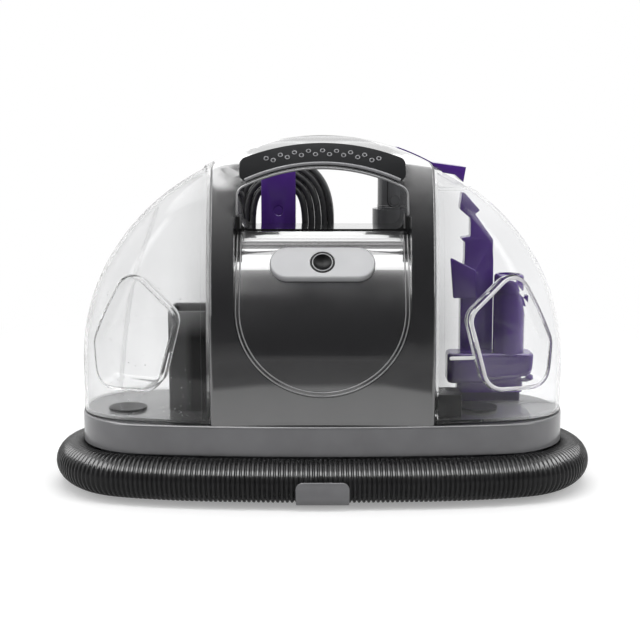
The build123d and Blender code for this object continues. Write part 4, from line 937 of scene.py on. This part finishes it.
class CLEANER_OT_controls(bpy.types.Operator):
    """Dresses the switch, the grip and the tank lever"""

    bl_idname = "cleaner.controls"
    bl_label = "Switch, grip and lever"

    def execute(self, context):
        dress("switch_plate", "switch_body", "handle_grip", "latch_pin")
        smooth_copy("tank_latch", "purple", "tank_latch", rounding=0.0008)
        dress("power_button", look="button_black")
        button = surface("power_button")
        out = Vector((0, -cos(BUTTON_TILT), sin(BUTTON_TILT)))
        edge = button.ray_cast(Vector((BUTTON_RING, *BUTTON_MIDDLE)) + 0.03 * out, -out)[0]
        place = standing(edge - Vector((BUTTON_RING, 0, 0)), out)
        ring = joined("button_ring", [ring_mesh(BUTTON_RING, 0.0004, steps=40)], [place])
        add_piece("button_ring", ring, "power_button", "satin_silver")
        size = sizes()
        grip = surface("handle_grip")
        places = []
        for index in range(size.ring_count):
            x = (index - (size.ring_count - 1) / 2) * size.ring_pitch
            z = RING_ROWS_Z[index % 2] - RING_FALL * (x / RING_SPAN) ** 2
            places.append(standing(*front_of(grip, x, z)))
        ring = ring_mesh(size.ring_radius, 0.0005)
        mesh = joined("grip_rings", [ring] * len(places), places)
        add_piece("grip_rings", mesh, "machine", "grip_grey", look="ring_grey")
        # The lip under the grip is light grey, a painted reflection
        radius = GAP_ARCH_RADIUS + GRIP_LIP_RISE
        across = [GRIP_LIP_HALF_X * (step / 30 - 1) for step in range(61)]
        lip = [front_of(grip, x, GAP_ARCH_Z + sqrt(radius**2 - x**2))[0] for x in across]
        lip = tube_mesh("grip_lip", lip, GRIP_LIP_RADIUS, sides=4)
        add_piece("grip_lip", lip, "machine", "grip_grey", look="ring_grey")
        return {"FINISHED"}


class CLEANER_OT_inside(bpy.types.Operator):
    """Dresses the fan, the motor and the pump"""

    bl_idname = "cleaner.inside"
    bl_label = "Fan, motor and pump"

    def execute(self, context):
        dress("fan_shroud", "impeller", "motor_shaft", "motor_can", "bearing_cap", "pump_body")
        return {"FINISHED"}


# The wand's axis, the U-shaped groove round its release button and the two rings under the groove
WAND_X = 0.0635
WAND_Y = 0.08
GROOVE_LOW_Z = 0.2315
GROOVE_TOP_Z = 0.2505
GROOVE_ARM = 0.0063
GROOVE_RADIUS = 0.0005
NECK_RING_RADIUS = 0.0146
NECK_RINGS_Z = (0.2248, 0.2263)


def groove_path():
    """Points along the groove, down its left arm, round its foot and up its right arm."""
    drop = (GROOVE_TOP_Z - GROOVE_LOW_Z) / 8
    left = [(WAND_X - GROOVE_ARM, GROOVE_TOP_Z - drop * step) for step in range(8)]
    turns = [pi + pi * step / 16 for step in range(17)]
    foot = [(WAND_X + GROOVE_ARM * cos(turn), GROOVE_LOW_Z + GROOVE_ARM * sin(turn)) for turn in turns]
    return left + foot + [(2 * WAND_X - x, z) for x, z in reversed(left)]


class CLEANER_OT_tools(bpy.types.Operator):
    """Dresses the wand, the cord post and the stored tools"""

    bl_idname = "cleaner.tools"
    bl_label = "Wand and tools"

    def execute(self, context):
        dress("wand_grip", "wand_neck", "wand_release", look="wand_grey")
        dress("wand_trigger", "trigger_pin", "wand_clip")
        neck = surface("wand_neck")
        groove = [front_of(neck, x, z)[0] for x, z in groove_path()]
        groove = tube_mesh("neck_groove", groove, GROOVE_RADIUS)
        add_piece("neck_groove", groove, "machine", "black_plastic")
        ring = ring_mesh(NECK_RING_RADIUS, 0.0004, steps=40)
        places = [Matrix.Translation((WAND_X, WAND_Y, z)) for z in NECK_RINGS_Z]
        rings = joined("neck_rings", [ring] * len(places), places)
        add_piece("neck_rings", rings, "machine", "grip_grey", look="wand_grey")
        dress("lower_hook", "tool_pegs", "cord_hook", "brush_tool", "brush_bristles")
        smooth_copy("cord_post", "purple", "machine", rounding=0.0008)
        smooth_copy("slim_tool", "purple", "slim_tool", rounding=0.0012)
        return {"FINISHED"}


# Studio, by directions from the cleaner: how bright the room in front looks in reflections and through the
# tanks, how much light it gives, and the canopy overhead
FRONT_DARK = 0.05
GLASS_DARK = 0.35
FRONT_Y = (-0.45, 0.0)
ROOM_LIGHT = 0.4
CANOPY = 3.6
CANOPY_Z = (0.66, 0.97)
CANOPY_STEEPNESS = 6.5
# The walls beside the camera grow brighter with height: how far aside and from what height they show in a
# reflection, and each wall's strength and steepness. The left one has a bright window above.
WALL_ASIDE = 0.067
WALL_LOW = 0.09
LEFT_WALL = (2.0, 1.6)
RIGHT_WALL = (6.3, 4.1)
WINDOW = 5.2
WINDOW_Z = (0.68, 0.73)
# The floor: where its table ends in front, the room's floor beyond, and where all of it fades to white
TABLE_END_Y = (-0.53, -0.5)
BEYOND_Y = (-2.2, -0.53)
BEYOND_LIGHT = 0.33
FLOOR_FADE = (0.35, 0.9)
# Lamps: name, place, aim, width, height and power. The last lights the gloss of the hose alone.
LAMPS = (
    ("top_lamp", (0, -0.43, 1.5), (0, -0.05, 0.2), 1.6, 0.36, 8.5),
    ("top_rear_lamp", (0, 0.75, 1.5), (0, 0, 0.2), 1.6, 0.9, 6.5),
    ("left_lamp", (-1.3, -0.7, 0.7), (0, 0, 0.15), 0.35, 1.2, 5.5),
    ("right_lamp", (1.3, -0.6, 0.8), (0, 0, 0.15), 0.35, 1.2, 5.5),
    ("hose_lamp", (0, -0.81, 1.05), (0, -0.09, 0.03), 2.2, 0.6, 110),
)
CAMERA_X = -0.002


def pick(tree, switch, on, off):
    """One value where the switch is 1 and another where it is 0."""
    node = tree.nodes.new("ShaderNodeMix")
    tree.links.new(switch, node.inputs[0])
    feed(tree, off, node.inputs[2])
    feed(tree, on, node.inputs[3])
    return node.outputs[0]


def ray_strength(tree, glossy, clear, other):
    """White for the camera, and given strengths for reflections, for glass and for the rest."""
    path = tree.nodes.new("ShaderNodeLightPath")
    unseen = pick(tree, path.outputs["Is Glossy Ray"], glossy, other)
    unseen = pick(tree, path.outputs["Is Transmission Ray"], clear, unseen)
    return pick(tree, path.outputs["Is Camera Ray"], 1.0, unseen)


def floor_finish():
    """Pale floor that keeps the shadow and fades to white; its table ends in front of the cleaner."""
    material = bpy.data.materials.new("studio_floor")
    material.use_nodes = True
    tree = material.node_tree
    tree.nodes.clear()
    output = tree.nodes.new("ShaderNodeOutputMaterial")
    place = tree.nodes.new("ShaderNodeTexCoord").outputs["Object"]
    paint = tree.nodes.new("ShaderNodeBsdfDiffuse")
    path = tree.nodes.new("ShaderNodeLightPath")
    table = remap(tree, axis(tree, place, "Y"), 0, 1, *TABLE_END_Y)
    past_edge = math(tree, "MULTIPLY", path.outputs["Is Glossy Ray"], math(tree, "SUBTRACT", 1, table))
    shade = blend_colours(tree, past_edge, (0.86, 0.86, 0.86), (0.05, 0.05, 0.05))
    tree.links.new(shade, paint.inputs["Color"])
    glow = tree.nodes.new("ShaderNodeEmission")
    seen = ray_strength(tree, math(tree, "MULTIPLY", table, 0.5), 1.0, 0.0)
    tree.links.new(math(tree, "MULTIPLY", seen, 0.3), glow.inputs["Strength"])
    near = tree.nodes.new("ShaderNodeAddShader")
    tree.links.new(paint.outputs[0], near.inputs[0])
    tree.links.new(glow.outputs[0], near.inputs[1])
    white = tree.nodes.new("ShaderNodeEmission")
    beyond = remap(tree, axis(tree, place, "Y"), FRONT_DARK, BEYOND_LIGHT, *BEYOND_Y)
    far = math(tree, "MAXIMUM", beyond, table)
    tree.links.new(ray_strength(tree, far, far, 0.0), white.inputs["Strength"])
    distance = tree.nodes.new("ShaderNodeVectorMath")
    distance.operation = "LENGTH"
    tree.links.new(place, distance.inputs[0])
    fade = tree.nodes.new("ShaderNodeMixShader")
    tree.links.new(remap(tree, distance.outputs["Value"], 0, 1, *FLOOR_FADE), fade.inputs[0])
    tree.links.new(near.outputs[0], fade.inputs[1])
    tree.links.new(white.outputs[0], fade.inputs[2])
    tree.links.new(fade.outputs[0], output.inputs["Surface"])
    return material


def softbox(name, place, aim, width, height, power):
    """A soft rectangular lamp at a place, turned to its aim."""
    lamp = bpy.data.lights.new(name, "AREA")
    lamp.shape = "RECTANGLE"
    lamp.size = width
    lamp.size_y = height
    lamp.energy = power
    holder = linked(name, lamp)
    holder.location = place
    holder.rotation_euler = (Vector(aim) - Vector(place)).to_track_quat("-Z", "Y").to_euler()


class CLEANER_OT_stage(bpy.types.Operator):
    """Sets up the floor, the lamps, the white surroundings and the camera"""

    bl_idname = "cleaner.stage"
    bl_label = "Studio"

    def execute(self, context):
        scene = context.scene
        form = bmesh.new()
        bmesh.ops.create_grid(form, x_segments=2, y_segments=2, size=6)
        bmesh.ops.translate(form, verts=form.verts, vec=(0, 0, -0.0002))
        floor = linked("studio_floor", mesh_from(form, "studio_floor"))
        floor.data.materials.append(floor_finish())

        scene.world = bpy.data.worlds.new("studio_white")
        scene.world.use_nodes = True
        tree = scene.world.node_tree
        background = tree.nodes["Background"]
        set_inputs(background, Color=(1, 1, 1, 1))
        direction = tree.nodes.new("ShaderNodeTexCoord").outputs["Generated"]
        room = remap(tree, axis(tree, direction, "Y"), FRONT_DARK, 1.0, *FRONT_Y)
        glass = remap(tree, axis(tree, direction, "Y"), GLASS_DARK, 1.0, *FRONT_Y)
        height = axis(tree, direction, "Z")
        canopy = math(tree, "POWER", remap(tree, height, 0.0, 1.0, *CANOPY_Z), CANOPY_STEEPNESS)
        rise = remap(tree, height, 0.0, 1.0 - WALL_LOW, WALL_LOW, 1.0)
        sideways = axis(tree, direction, "X")
        left = remap(tree, sideways, 1.0, 0.0, -1.1 * WALL_ASIDE, -WALL_ASIDE)
        right = remap(tree, sideways, 0.0, 1.0, WALL_ASIDE, 1.1 * WALL_ASIDE)
        window = remap(tree, height, 0.0, WINDOW, *WINDOW_Z)
        above = math(tree, "MULTIPLY", canopy, CANOPY)
        for side, (gain, steepness) in ((left, LEFT_WALL), (right, RIGHT_WALL)):
            wall = math(tree, "MULTIPLY", math(tree, "POWER", rise, steepness), gain)
            if side is left:
                wall = math(tree, "MAXIMUM", wall, window)
            wall = math(tree, "ADD", room, math(tree, "MULTIPLY", wall, side))
            above = math(tree, "MAXIMUM", above, wall)
        tree.links.new(ray_strength(tree, above, glass, ROOM_LIGHT), background.inputs["Strength"])

        for lamp in LAMPS:
            softbox(*lamp)
        bpy.data.objects["hose_lamp"].visible_diffuse = False

        settings = scene.cleaner_stage
        data = bpy.data.cameras.new("camera")
        data.lens = settings.lens
        data.sensor_width = 36
        camera = linked("camera", data)
        camera.location = (CAMERA_X, -settings.camera_distance, settings.camera_height)
        camera.rotation_euler = (pi / 2 - settings.camera_tilt, 0, 0)
        scene.camera = camera
        scene.view_settings.view_transform = "Standard"
        return {"FINISHED"}


OPERATORS = (
    CLEANER_OT_stage, CLEANER_OT_hose, CLEANER_OT_cord, CLEANER_OT_shells, CLEANER_OT_tanks,
    CLEANER_OT_controls, CLEANER_OT_inside, CLEANER_OT_tools,
)


class CLEANER_PT_sidebar(bpy.types.Panel):
    """Lists the steps that dress the cleaner"""

    bl_idname = "CLEANER_PT_sidebar"
    bl_label = "Portable Carpet Cleaner"
    bl_space_type = "VIEW_3D"
    bl_region_type = "UI"
    bl_category = "Cleaner"

    def draw(self, context):
        for step in OPERATORS:
            self.layout.operator(step.bl_idname)
        scene = context.scene
        for group in (scene.cleaner_colours, scene.cleaner_sizes, scene.cleaner_stage):
            for name in group.__annotations__:
                self.layout.prop(group, name)


CLASSES = (CleanerColours, CleanerSizes, CleanerStage, *OPERATORS, CLEANER_PT_sidebar)


def register():
    for item in CLASSES:
        bpy.utils.register_class(item)
    bpy.types.Scene.cleaner_colours = PointerProperty(type=CleanerColours)
    bpy.types.Scene.cleaner_sizes = PointerProperty(type=CleanerSizes)
    bpy.types.Scene.cleaner_stage = PointerProperty(type=CleanerStage)


def unregister():
    del bpy.types.Scene.cleaner_stage
    del bpy.types.Scene.cleaner_sizes
    del bpy.types.Scene.cleaner_colours
    for item in reversed(CLASSES):
        bpy.utils.unregister_class(item)


def main():
    register()
    bpy.ops.cleaner.stage()
    bpy.ops.cleaner.hose()
    bpy.ops.cleaner.cord()
    bpy.ops.cleaner.shells()
    bpy.ops.cleaner.tanks()
    bpy.ops.cleaner.controls()
    bpy.ops.cleaner.inside()
    bpy.ops.cleaner.tools()


if __name__ == "__main__":
    main()
